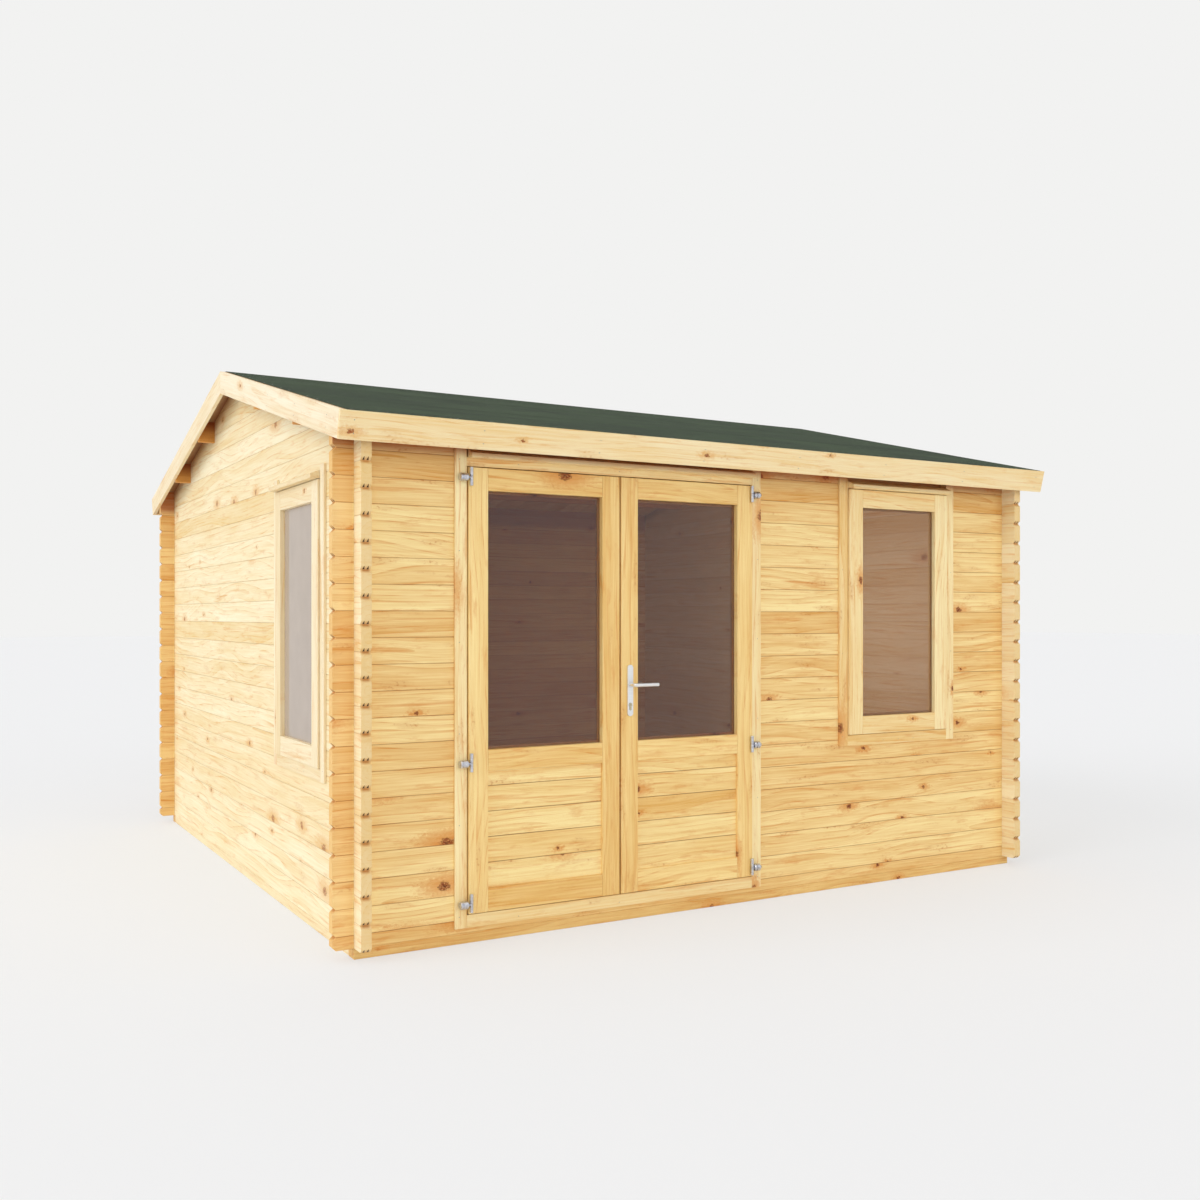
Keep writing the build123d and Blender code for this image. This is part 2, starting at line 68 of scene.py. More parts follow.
def put(tree, kind, *given, **settings):
    """Add a node; a second word in its kind is its operation.  What is given goes to its inputs,
    in order or in a dict by name: a value, an output, or a node, for its first output in use."""
    kind, *operation = kind.split()
    node = tree.nodes.new(kind if kind.startswith("Node") else "ShaderNode" + kind)
    if operation:
        node.operation = operation[0]
    for name, value in settings.items():
        setattr(node, name, value)
    inputs = given[0] if given and isinstance(given[0], dict) else dict(enumerate(given))
    for name, value in inputs.items():
        if isinstance(value, bpy.types.Node):
            value = next(output for output in value.outputs if output.enabled)
        if isinstance(value, bpy.types.NodeSocket):
            tree.links.new(value, node.inputs[name])
        else:
            node.inputs[name].default_value = value
    return node


def new_material(name):
    """An empty material, its node tree and its output node."""
    material = bpy.data.materials.new(name)
    material.use_nodes = True
    tree = material.node_tree
    tree.nodes.clear()
    return material, tree, tree.nodes.new("ShaderNodeOutputMaterial")


world = bpy.data.worlds.new("room")
bpy.context.scene.world = world
world.use_nodes = True
world.node_tree.nodes.clear()
room_seen = put(world.node_tree, "Background", {"Color": linear("#F2F2F1"), "Strength": 1.0})
room_light = put(world.node_tree, "Background", {"Color": linear("#FFFFFF"), "Strength": 0.62})
rays = put(world.node_tree, "LightPath")
direct = put(world.node_tree, "Math MAXIMUM", rays.outputs["Is Camera Ray"], rays.outputs["Is Glossy Ray"])
direct = put(world.node_tree, "Math MAXIMUM", direct, rays.outputs["Is Transmission Ray"])
room = put(world.node_tree, "MixShader", direct, room_light, room_seen)
put(world.node_tree, "OutputWorld", {"Surface": room})

for name, strength, spread_angle, toward in (("left_lamp", 1.18, 50, (-0.90, 0.02, 0.42)),
                                             ("front_lamp", 0.84, 60, (0.05, -0.90, 0.18)),
                                             ("top_lamp", 0.38, 60, (0.0, 0.0, 1.0))):
    lamp_data = bpy.data.lights.new(name, "SUN")
    lamp_data.energy = strength
    lamp_data.angle = math.radians(spread_angle)
    lamp = bpy.data.objects.new(name, lamp_data)
    bpy.context.collection.objects.link(lamp)
    lamp.rotation_euler = Vector(toward).to_track_quat("Z", "Y").to_euler()
    lamp.visible_glossy = name != "front_lamp"
room_lamp_data = bpy.data.lights.new("room_lamp", "AREA")
room_lamp_data.shape = "RECTANGLE"
room_lamp_data.size, room_lamp_data.size_y = 1.4, 0.9
room_lamp_data.energy = 11.5
room_lamp = bpy.data.objects.new("room_lamp", room_lamp_data)
bpy.context.collection.objects.link(room_lamp)
room_lamp.location = (0.6, -1.0, 1.35)
room_lamp.rotation_euler = Vector((-1, 0, 0)).to_track_quat("Z", "Y").to_euler()
room_lamp.visible_camera = False
room_lamp.visible_glossy = False

bpy.ops.object.select_all(action="DESELECT")
bpy.ops.mesh.primitive_plane_add(size=160, location=(0, 0, -0.0004))
floor = bpy.context.object
floor.name = "studio_floor"
bpy.ops.object.transform_apply(location=True, rotation=True, scale=True)
# a roll of matt paper: no gleam, so that only the cabin's soft shadow shows on it
paper, tree, out = new_material("studio paper")
surface = put(tree, "BsdfPrincipled", {"Base Color": linear("#F2F3F5"), "Roughness": 0.9,
                                       "Specular IOR Level": 0.0})
even = put(tree, "Emission", {"Color": linear("#F3F3F3"), "Strength": 1.0})
seen = put(tree, "Math MULTIPLY", put(tree, "LightPath").outputs["Is Camera Ray"], 0.55)
lifted = put(tree, "MixShader", seen, surface, even)
tree.links.new(lifted.outputs[0], out.inputs["Surface"])
floor.data.materials.append(paper)

# ---- Log walls ------------------------------------------------------------------
# Spruce logs, planed to 44 mm, with tongues and grooves between them and half
# lapped notches where they cross at the corners.  Left bare.
log_thick, log_cover = 0.044, 0.110
wall_out = 1.910    # from the cabin's middle to each wall's outer face


def grain_group():
    """Grain of a planed board, in metres: rings round a wandering pith, fibres, resin and knots."""
    tree = bpy.data.node_groups.new("softwood grain", "ShaderNodeTree")
    for name in ("Along", "Across", "Depth", "Board"):
        tree.interface.new_socket(name, in_out="INPUT", socket_type="NodeSocketFloat")
    for name in ("Late wood", "Cloud", "Tone", "Knot", "Knot edge", "Halo", "Fibre", "Streak", "Resin",
                 "Zone", "Ring line", "Specks"):
        tree.interface.new_socket(name, in_out="OUTPUT", socket_type="NodeSocketFloat")
    given = put(tree, "NodeGroupInput").outputs
    along, across, depth, board = (given[n] for n in ("Along", "Across", "Depth", "Board"))

    chance = put(tree, "TexWhiteNoise", {"W": board}, noise_dimensions="1D")
    chance_parts = put(tree, "SeparateColor", chance.outputs["Color"])
    tone = chance.outputs["Value"]

    # the pith lies behind the face, to one side, and wanders along the board
    far = put(tree, "Math MULTIPLY_ADD", board, 3.71, along)
    wander = put(tree, "TexNoise", {"W": far, "Scale": 0.9, "Detail": 1.0, "Roughness": 0.4},
                 noise_dimensions="1D")
    side = put(tree, "MapRange", wander, 0.25, 0.75, -0.045, 0.045)
    side = put(tree, "Math MULTIPLY_ADD", put(tree, "Math SUBTRACT", chance_parts.outputs[0], 0.5), 0.09,
               side)
    behind = put(tree, "MapRange", chance_parts.outputs[1], 0, 1, 0.012, 0.085)
    dx = put(tree, "Math SUBTRACT", across, side)
    dy = put(tree, "Math SUBTRACT", depth, behind)
    radius = put(tree, "Math SQRT", put(tree, "Math ADD", put(tree, "Math MULTIPLY", dx, dx),
                                        put(tree, "Math MULTIPLY", dy, dy)))

    # knots: one in some cells of the board's face, ragged, a little longer along the grain
    apart = 2.3
    knot_place = put(tree, "CombineXYZ", put(tree, "Math MULTIPLY", far, apart),
                     put(tree, "Math MULTIPLY_ADD", across, apart, put(tree, "Math MULTIPLY", board, 7.31)))
    cells = put(tree, "TexVoronoi", {"Vector": knot_place, "Scale": 1.0, "Randomness": 1.0},
                voronoi_dimensions="2D")
    cell = put(tree, "SeparateColor", cells.outputs["Color"])
    away = put(tree, "VectorMath SUBTRACT", knot_place, cells.outputs["Position"])
    away = put(tree, "SeparateXYZ", away.outputs[0])
    off_along = put(tree, "Math MULTIPLY", away.outputs[0], 1 / apart)
    off_across = put(tree, "Math MULTIPLY", away.outputs[1], 1 / apart)
    ragged_place = put(tree, "CombineXYZ", put(tree, "Math MULTIPLY", far, 55.0),
                       put(tree, "Math MULTIPLY", across, 75.0), board)
    ragged = put(tree, "TexNoise", {"Vector": ragged_place, "Scale": 1.0, "Detail": 3.0, "Roughness": 0.65})
    rough_edge = put(tree, "Math MULTIPLY", put(tree, "Math SUBTRACT", ragged, 0.5), 0.034)
    crumbs_place = put(tree, "CombineXYZ", put(tree, "Math MULTIPLY", far, 95.0),
                       put(tree, "Math MULTIPLY", across, 150.0), board)
    crumbs = put(tree, "TexNoise", {"Vector": crumbs_place, "Scale": 1.0, "Detail": 3.0, "Roughness": 0.6})
    broken = put(tree, "MapRange", crumbs, 0.40, 0.52, 0.30, 1.0)

    def oval(squeeze):
        long_part = put(tree, "Math MULTIPLY", off_along, squeeze)
        return put(tree, "Math SQRT", put(tree, "Math ADD",
                                          put(tree, "Math MULTIPLY", long_part, long_part),
                                          put(tree, "Math MULTIPLY", off_across, off_across)))

    near = put(tree, "Math ADD", oval(0.75), rough_edge)
    wide = put(tree, "Math ADD", oval(0.42), put(tree, "Math MULTIPLY", rough_edge, 1.6))
    real = put(tree, "Math GREATER_THAN", cell.outputs[1], 0.34)
    size = put(tree, "Math MULTIPLY", cell.outputs[0], cell.outputs[0])
    size = put(tree, "Math MULTIPLY", put(tree, "Math MULTIPLY_ADD", size, 0.0200, 0.0045), real)
    knot = put(tree, "MapRange", put(tree, "Math DIVIDE", near, put(tree, "Math ADD", size, 0.0001)), 0.55,
               1.15, 1.0, 0.0)
    knot = put(tree, "Math MULTIPLY", put(tree, "Math MULTIPLY", knot, real), broken)
    rim = put(tree, "Math ABSOLUTE", put(tree, "Math SUBTRACT", near,
                                         put(tree, "Math MULTIPLY", size, 0.8)))
    edge = put(tree, "Math MULTIPLY", put(tree, "MapRange", rim, 0.0, 0.0026, 1.0, 0.0), real)
    heart = put(tree, "MapRange", put(tree, "Math DIVIDE", near, put(tree, "Math ADD", size, 0.0001)), 0.0,
                0.42, 1.0, 0.0)
    edge = put(tree, "Math MAXIMUM", edge, put(tree, "Math MULTIPLY", heart, real))
    reach = put(tree, "Math MULTIPLY_ADD", size, 3.4, 0.002)
    halo = put(tree, "MapRange", put(tree, "Math DIVIDE", wide, reach), 0.2, 1.0, 1.0, 0.0,
               interpolation_type="SMOOTHSTEP")
    halo = put(tree, "Math MULTIPLY", halo, real)
    bend = put(tree, "Math MULTIPLY", halo, put(tree, "Math MULTIPLY", size, 0.7))

    # uneven rings 4 mm apart, gathered in bands of about 20 mm, slow clouds of colour and patches of
    # resin; real fibres are finer than shows, so they are drawn 1.6 mm wide
    slow = put(tree, "CombineXYZ", far, put(tree, "Math MULTIPLY", across, 14.0),
               put(tree, "Math MULTIPLY", depth, 14.0))
    sway = put(tree, "TexNoise", {"Vector": slow, "Scale": 2.3, "Detail": 2.0, "Roughness": 0.5})
    rings = put(tree, "Math MULTIPLY_ADD", put(tree, "Math SUBTRACT", sway, 0.5), 0.006,
                put(tree, "Math ADD", radius, bend))
    drift = put(tree, "TexNoise", {"Vector": slow, "Scale": 0.55, "Detail": 2.0, "Roughness": 0.35})
    broad = put(tree, "Math MULTIPLY_ADD", put(tree, "Math SUBTRACT", drift, 0.5), 0.060,
                put(tree, "Math ADD", radius, bend))
    broad = put(tree, "Math DIVIDE", broad, 0.019)
    part = put(tree, "Math FRACT", broad)
    zone_chance = put(tree, "TexWhiteNoise", {"W": put(tree, "Math MULTIPLY_ADD", board, 13.7,
                                                       put(tree, "Math FLOOR", broad))},
                      noise_dimensions="1D")
    zone = put(tree, "Math MULTIPLY", zone_chance.outputs["Value"],
               put(tree, "MapRange", part, 0, 1, 0.5, 1.0))
    ring_line = put(tree, "Math MULTIPLY", put(tree, "MapRange", part, 0.74, 0.95,
                                               interpolation_type="SMOOTHSTEP"),
                    put(tree, "MapRange", part, 0.965, 1.0, 1.0, 0.0))
    wave = put(tree, "Math SINE", put(tree, "Math MULTIPLY", rings, 2 * math.pi / 0.0042))
    late = put(tree, "Math POWER", put(tree, "Math MULTIPLY_ADD", wave, 0.5, 0.5), 2.6)
    band = put(tree, "Math SINE", put(tree, "Math MULTIPLY", rings, 2 * math.pi / 0.021))
    late = put(tree, "Math MULTIPLY", late, put(tree, "MapRange", band, -1, 1, 0.45, 1.0))
    thin = put(tree, "CombineXYZ", put(tree, "Math MULTIPLY", far, 9.0),
               put(tree, "Math MULTIPLY", across, 620.0), put(tree, "Math MULTIPLY", depth, 620.0))
    fibre = put(tree, "TexNoise", {"Vector": thin, "Scale": 1.0, "Detail": 2.0})
    cloud_place = put(tree, "CombineXYZ", put(tree, "Math MULTIPLY", far, 1.7),
                      put(tree, "Math MULTIPLY_ADD", across, 13.0, board),
                      put(tree, "Math MULTIPLY", depth, 11.0))
    cloud = put(tree, "TexNoise", {"Vector": cloud_place, "Scale": 1.0, "Detail": 4.0, "Roughness": 0.6})
    streak_place = put(tree, "CombineXYZ", put(tree, "Math MULTIPLY", far, 2.4),
                       put(tree, "Math MULTIPLY", put(tree, "Math ADD", across, bend), 95.0),
                       put(tree, "Math MULTIPLY_ADD", depth, 40.0, board))
    streak = put(tree, "TexNoise", {"Vector": streak_place, "Scale": 1.0, "Detail": 4.0, "Roughness": 0.62})
    resin_place = put(tree, "CombineXYZ", put(tree, "Math MULTIPLY", far, 5.5),
                      put(tree, "Math MULTIPLY", across, 26.0), put(tree, "Math MULTIPLY", board, 3.3))
    resin = put(tree, "TexNoise", {"Vector": resin_place, "Scale": 1.0, "Detail": 5.0, "Roughness": 0.68})
    patch = put(tree, "MapRange", resin, 0.56, 0.76)
    blot_place = put(tree, "CombineXYZ", put(tree, "Math MULTIPLY", far, 3.6),
                     put(tree, "Math MULTIPLY_ADD", across, 17.0, put(tree, "Math MULTIPLY", board, 2.1)),
                     put(tree, "Math MULTIPLY", board, 1.7))
    blot = put(tree, "TexNoise", {"Vector": blot_place, "Scale": 1.0, "Detail": 1.0})
    speck_place = put(tree, "CombineXYZ", put(tree, "Math MULTIPLY", far, 60.0),
                      put(tree, "Math MULTIPLY", across, 82.0), board)
    speck = put(tree, "TexNoise", {"Vector": speck_place, "Scale": 1.0, "Detail": 2.0, "Roughness": 0.5})
    speck_share = put(tree, "Math MAXIMUM", put(tree, "MapRange", speck, 0.48, 0.72), 0.22)
    specks = put(tree, "Math MULTIPLY", put(tree, "MapRange", blot, 0.62, 0.74,
                                            interpolation_type="SMOOTHSTEP"), speck_share)
    ring_line = put(tree, "Math MULTIPLY", ring_line, put(tree, "MapRange", streak, 0.42, 0.64))

    put(tree, "NodeGroupOutput", {"Late wood": late, "Cloud": cloud, "Tone": tone, "Knot": knot,
                                  "Knot edge": edge, "Halo": halo, "Fibre": fibre, "Streak": streak,
                                  "Resin": patch, "Zone": zone, "Ring line": ring_line, "Specks": specks})
    return tree


grain = grain_group()


def wood_shader(tree, out, along, across, depth, board, colours, seam=None, knots=1.0, gloss=0.55, ends=None):
    """Bare planed softwood over a grain given in metres; colours are light, deep, resin and knot."""
    light, deep, resin_colour, knot_colour = (linear(c) for c in colours)
    found = put(tree, "Group", {"Along": along, "Across": across, "Depth": depth, "Board": board},
                node_tree=grain).outputs
    share = put(tree, "Math MULTIPLY_ADD", found["Late wood"], 0.16, -0.33)
    share = put(tree, "Math MULTIPLY_ADD", put(tree, "MapRange", found["Streak"], 0.32, 0.70), 0.34, share)
    share = put(tree, "Math MULTIPLY_ADD", put(tree, "MapRange", found["Cloud"], 0.34, 0.68), 0.30, share)
    share = put(tree, "Math MULTIPLY_ADD", found["Zone"], 0.34, share)
    share = put(tree, "Math MULTIPLY_ADD", found["Tone"], 0.50, share)
    colour = put(tree, "Mix", {0: put(tree, "MapRange", share, 0, 1), 6: light, 7: deep}, data_type="RGBA")
    colour = put(tree, "Mix", {0: put(tree, "Math MULTIPLY", found["Ring line"], 0.60), 6: colour,
                               7: resin_colour}, data_type="RGBA")
    colour = put(tree, "Mix", {0: put(tree, "Math MULTIPLY", found["Resin"], 0.55), 6: colour,
                               7: resin_colour}, data_type="RGBA")
    rust = tuple(0.72 * a + 0.28 * b for a, b in zip(resin_colour, knot_colour))
    colour = put(tree, "Mix", {0: put(tree, "Math MULTIPLY", found["Specks"], 0.66 * knots), 6: colour,
                               7: rust}, data_type="RGBA")
    colour = put(tree, "Mix", {0: put(tree, "Math MULTIPLY", found["Halo"], 0.62 * knots), 6: colour,
                               7: resin_colour}, data_type="RGBA")
    colour = put(tree, "Mix", {0: put(tree, "Math MULTIPLY", found["Knot"], 0.95 * knots), 6: colour,
                               7: knot_colour}, data_type="RGBA")
    dark = tuple(c * 0.24 for c in knot_colour[:3]) + (1.0,)
    colour = put(tree, "Mix", {0: put(tree, "Math MULTIPLY", found["Knot edge"], 0.62 * knots), 6: colour,
                               7: dark}, data_type="RGBA")
    colour = put(tree, "Mix", {0: put(tree, "Math MULTIPLY",
                                      put(tree, "MapRange", found["Fibre"], 0.52, 0.8), 0.16), 6: colour,
                               7: deep}, data_type="RGBA")
    if seam is not None:
        worn = put(tree, "Math MULTIPLY", seam, put(tree, "MapRange", found["Cloud"], 0.36, 0.60, 0.55,
                                                    1.0))
        groove = tuple(0.40 * a + 0.20 * b for a, b in zip(resin_colour, knot_colour))
        colour = put(tree, "Mix", {0: worn, 6: colour, 7: groove}, data_type="RGBA")
    if ends is not None:
        colour = ends(colour)
    relief = put(tree, "Math MULTIPLY_ADD", found["Fibre"], 0.5,
                 put(tree, "Math MULTIPLY", found["Late wood"], 0.5))
    relief = put(tree, "Math MULTIPLY_ADD", found["Knot"], 0.6, relief)
    bump = put(tree, "Bump", {"Height": relief, "Strength": 0.25, "Distance": 0.0006})
    rough = put(tree, "MapRange", found["Late wood"], 0, 1, gloss + 0.07, gloss - 0.05)
    shader = put(tree, "BsdfPrincipled", {"Base Color": colour, "Roughness": rough, "Normal": bump,
                                          "Specular IOR Level": 0.3})
    tree.links.new(shader.outputs[0], out.inputs["Surface"])


apex_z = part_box("ridge_purlin")[1].z
roof_pitch = math.radians(13.9)
roof_slope = math.tan(roof_pitch)


def roof_shade_share(tree, place, reach, most, start=0.0):
    """Share of painted shade that bare wood takes close under the roof boards."""
    out_from_ridge = put(tree, "Math ABSOLUTE", place[1])
    down = put(tree, "Math SUBTRACT", apex_z,
               put(tree, "Math MULTIPLY_ADD", out_from_ridge, roof_slope, place[2]))
    return put(tree, "MapRange", down, start, reach, most, 0.0, interpolation_type="SMOOTHSTEP")


def log_material(name, run, start, colours, end_colour, worn=0.72, darkening=0.22, knots=1.0):
    """Stacked logs along one axis: seams at the joints, end grain, and painted shade in the gaps beside each
    tongue and close under the roof.
    """
    material, tree, out = new_material(name)
    coords = put(tree, "TexCoord").outputs
    place = put(tree, "SeparateXYZ", coords["Object"]).outputs
    facing = put(tree, "SeparateXYZ", coords["Normal"]).outputs
    along, outward = (place[0], place[1]) if run == "x" else (place[1], place[0])
    row = put(tree, "Math DIVIDE", put(tree, "Math SUBTRACT", place[2], start), log_cover)
    index = put(tree, "Math FLOOR", row)
    above = put(tree, "Math MULTIPLY", put(tree, "Math FRACT", row), log_cover)
    within = put(tree, "Math SUBTRACT", above, log_cover / 2)
    wall = put(tree, "Math SIGN", outward)
    depth = put(tree, "Math SUBTRACT", wall_out, put(tree, "Math ABSOLUTE", outward))
    board = put(tree, "Math MULTIPLY_ADD", wall, 31.0, put(tree, "Math ADD", index, 57.0))
    edge = put(tree, "Math SUBTRACT", log_cover / 2, put(tree, "Math ABSOLUTE", within))
    at_end = put(tree, "Math ABSOLUTE", facing[0 if run == "x" else 1])
    at_end = put(tree, "MapRange", at_end, 0.45, 0.6)
    seam = put(tree, "Math MULTIPLY", put(tree, "MapRange", edge, 0.0006, 0.0024, worn, 0.0),
               put(tree, "Math SUBTRACT", 1.0, at_end))

    # at the log ends past the corners: painted shade for the gap on each side of the tongue, closing upwards,
    # and an orange tint along the edges above and below
    off_middle = put(tree, "Math ABSOLUTE", put(tree, "Math SUBTRACT", depth, log_thick / 2))
    from_gap = put(tree, "Math ABSOLUTE", put(tree, "Math SUBTRACT", off_middle, 0.0088))
    half_gap = put(tree, "MapRange", above, 0.0015, 0.0150, 0.0047, 0.0006)
    gap = put(tree, "MapRange", put(tree, "Math SUBTRACT", from_gap, half_gap), -0.0006, 0.0004, 1.0, 0.0)
    gap = put(tree, "Math MULTIPLY", gap, put(tree, "MapRange", above, 0.0010, 0.0022))
    gap = put(tree, "Math MULTIPLY", gap, put(tree, "Math LESS_THAN", above, 0.0146))
    past_corner = put(tree, "Math GREATER_THAN", put(tree, "Math ABSOLUTE", along), wall_out + 0.070)
    gap = put(tree, "Math MULTIPLY", put(tree, "Math MULTIPLY", gap, at_end), past_corner)
    edge_tint = put(tree, "MapRange", above, 0.002, 0.014, 0.35, 0.0)
    edge_tint = put(tree, "Math MAXIMUM", edge_tint, put(tree, "MapRange", above, 0.096, 0.106, 0.0, 0.75))
    edge_tint = put(tree, "Math MULTIPLY", edge_tint, put(tree, "MapRange", off_middle, 0.010, 0.019, 1.0, 0.25))
    edge_tint = put(tree, "Math MULTIPLY", put(tree, "Math MULTIPLY", edge_tint, at_end), past_corner)

    # the free ends past the corners are darker
    free = put(tree, "MapRange", put(tree, "Math ABSOLUTE", along), wall_out + 0.002, wall_out + 0.008,
               0.0, darkening)

    def ends(colour):
        colour = put(tree, "Mix", {0: free, 6: colour, 7: linear(colours[2])}, data_type="RGBA")
        # painted shade close under the roof: on the gables just below the roof boards, on the front and back
        # in the band below the fascias
        if run == "y":
            colour = put(tree, "Mix", {0: roof_shade_share(tree, place, 0.095, 0.72), 6: colour,
                                       7: linear("#9E5E26")}, data_type="RGBA")
        else:
            colour = put(tree, "Mix", {0: roof_shade_share(tree, place, 0.172, 0.70, 0.110), 6: colour,
                                       7: linear("#A23A0E")}, data_type="RGBA")
        pores = put(tree, "TexNoise", {"Vector": coords["Object"], "Scale": 190.0, "Detail": 3.0})
        cut = put(tree, "Mix", {0: put(tree, "MapRange", pores, 0.3, 0.7, 0.0, 0.35), 6: linear(end_colour),
                                7: linear(colours[1])}, data_type="RGBA")
        colour = put(tree, "Mix", {0: put(tree, "Math MULTIPLY", at_end, 0.72), 6: colour, 7: cut},
                     data_type="RGBA")
        colour = put(tree, "Mix", {0: edge_tint, 6: colour, 7: linear("#BE7226")}, data_type="RGBA")
        # painted shade in the gaps beside each tongue
        return put(tree, "Mix", {0: put(tree, "Math MULTIPLY", gap, 0.96), 6: colour, 7: linear("#2A0E06")},
                   data_type="RGBA")

    wood_shader(tree, out, along, within, depth, board, colours, seam, knots, 0.55, ends)
    return material


def finish(name, material):
    """Give a CAD node its material, once."""
    mesh = nodes[name].data
    mesh.materials.clear()
    mesh.materials.append(material)


# planed spruce: straw to honey, with red-brown knots and thin dark seams; the gables' logs are drawn
# paler than the front and back ones, as painted light on the lit side
front_pine = log_material("spruce logs, front", "x", 0.100, ("#FFE7A6", "#DB9C45", "#D8822A", "#7E2A08"),
                          "#F0C983")
side_pine = log_material("spruce logs, gables", "y", 0.045, ("#FBF0CE", "#E8C67F", "#E2A552", "#A8561F"),
                         "#EBC684", worn=0.40, darkening=0.0, knots=0.8)
for name in ("front_wall_base", "front_wall_left", "front_wall_lower_right", "front_wall_middle",
             "front_wall_right", "front_wall_header", "back_wall"):
    finish(name, front_pine)
for name in ("left_wall_lower", "left_wall_front", "left_wall_rear", "left_gable", "right_wall",
             "right_gable"):
    finish(name, side_pine)

# ---- Bearers and floor ------------------------------------------------------------
# Planed bearers under the walls, with joists between, and a floor of planed
# boards, tongued together and nailed down.
counter = iter(range(195, 4000))    # each timber's number picks its grain, tone and knots
hair = 0.0002                       # left clear beside a joint


def keep_grain(piece, run, face=None):
    """Write each point's place in its own board, along, across and behind the face, and its number."""
    mesh = piece.data
    low = [min(v.co[i] for v in mesh.vertices) for i in range(3)]
    high = [max(v.co[i] for v in mesh.vertices) for i in range(3)]
    others = sorted((i for i in range(3) if i != run), key=lambda i: high[i] - low[i])
    thin, wide = (others if face is None else (face, [i for i in others if i != face][0]))
    board = float(next(counter))
    places = []
    for vertex in mesh.vertices:
        places += [vertex.co[run], vertex.co[wide] - (low[wide] + high[wide]) / 2,
                   vertex.co[thin] - low[thin]]
    mesh.attributes.new("grain", "FLOAT_VECTOR", "POINT")
    mesh.attributes.new("board", "FLOAT", "POINT")
    mesh.attributes.new("half", "FLOAT", "POINT")
    mesh.attributes["grain"].data.foreach_set("vector", places)
    mesh.attributes["board"].data.foreach_set("value", [board] * len(mesh.vertices))
    mesh.attributes["half"].data.foreach_set("value", [(high[wide] - low[wide]) / 2] * len(mesh.vertices))


def timber(low, high, run, ease=0.0012, cuts=(), face=None):
    """A planed board between two corners, with eased edges; cuts take off what lies past a plane."""
    bpy.ops.object.select_all(action="DESELECT")
    low, high = Vector(low), Vector(high)
    bpy.ops.mesh.primitive_cube_add(size=1, location=(low + high) / 2, scale=high - low)
    piece = bpy.context.object
    bpy.ops.object.transform_apply(location=True, rotation=True, scale=True)
    bpy.ops.object.mode_set(mode="EDIT")
    for place, facing in cuts:
        bpy.ops.mesh.select_all(action="SELECT")
        bpy.ops.mesh.bisect(plane_co=place, plane_no=facing, use_fill=True, clear_outer=True)
    bpy.ops.mesh.select_all(action="SELECT")
    bpy.ops.mesh.bevel(offset=ease, segments=2, affect="EDGES")
    bpy.ops.object.mode_set(mode="OBJECT")
    keep_grain(piece, run, face)
    return piece


def moved(piece, matrix):
    """Move a piece by a matrix, and keep its place in its mesh."""
    bpy.ops.object.select_all(action="DESELECT")
    piece.select_set(True)
    bpy.context.view_layer.objects.active = piece
    piece.matrix_world = matrix
    bpy.ops.object.transform_apply(location=True, rotation=True, scale=True)
    return piece


def assembled(name, parts, material, body, replaced=(), matrix=None, smooth=40):
    """Parts joined into one piece, with its finish, its body and the CAD nodes that it stands for."""
    bpy.ops.object.select_all(action="DESELECT")
    for part in parts:
        part.select_set(True)
    bpy.context.view_layer.objects.active = parts[0]
    if len(parts) > 1:
        bpy.ops.object.join()
    piece = bpy.context.object
    piece.name = piece.data.name = name
    if matrix is not None:
        moved(piece, matrix)
    bpy.ops.object.shade_smooth_by_angle(angle=math.radians(smooth))
    weigh = piece.modifiers.new("flat faces stay flat", "WEIGHTED_NORMAL")
    weigh.keep_sharp = True
    bpy.ops.object.modifier_apply(modifier=weigh.name)
    if not piece.data.materials:
        piece.data.materials.append(material)
    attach(piece, body)
    if replaced:
        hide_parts(*replaced)
    return piece


def joinery_material(name, colours, knots=1.0, gloss=0.5, joint=0.0, eaves=0.0):
    """Planed board that carries its grain's place; joint darkens its edges, eaves paints shade close under
    the roof.
    """
    material, tree, out = new_material(name)
    place = put(tree, "SeparateXYZ", put(tree, "Attribute", attribute_name="grain").outputs["Vector"]).outputs
    board = put(tree, "Attribute", attribute_name="board").outputs["Fac"]
    seam = None
    if joint:
        half = put(tree, "Attribute", attribute_name="half").outputs["Fac"]
        edge = put(tree, "Math SUBTRACT", half, put(tree, "Math ABSOLUTE", place[1]))
        seam = put(tree, "MapRange", edge, 0.0008, 0.0026, joint, 0.0)
    place_on_cabin = put(tree, "SeparateXYZ", put(tree, "TexCoord").outputs["Object"]).outputs

    # painted shade close under the roof, for the casings and bars high on the front
    def eave_painted_shade(colour):
        return put(tree, "Mix", {0: roof_shade_share(tree, place_on_cabin, 0.155, eaves, 0.100), 6: colour,
                                 7: linear("#A23A0E")}, data_type="RGBA")

    wood_shader(tree, out, place[0], place[1], place[2], board, colours, seam, knots, gloss,
                eave_painted_shade if eaves else None)
    return material


base_low, base_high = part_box("bearer_frame")
# planed spruce, close to the logs above it in colour on each side, so paler on the gables as painted light
front_base = joinery_material("bearer spruce, front", ("#FCE09A", "#D69B4A", "#D98630", "#9C4213"))
side_base = joinery_material("bearer spruce, gables", ("#F8E8C0", "#E0BF80", "#E0A85F", "#B4642B"))
bearer_wide, joist_wide, joist_count = 0.070, 0.045, 6
long_bearers = [timber((base_low.x, y, 0), (base_high.x, y + bearer_wide, base_high.z), 0, 0.002, face=1)
                for y in (base_low.y, base_high.y - bearer_wide)]
assembled("long_bearers", long_bearers, front_base, "cabin", ("bearer_frame",))
cross_bearers = [timber((x, base_low.y + bearer_wide, 0),
                        (x + bearer_wide, base_high.y - bearer_wide, base_high.z), 1, 0.002, face=0)
                 for x in (base_low.x, base_high.x - bearer_wide)]
joist_step = (base_high.x - base_low.x - 2 * bearer_wide) / (joist_count + 1)
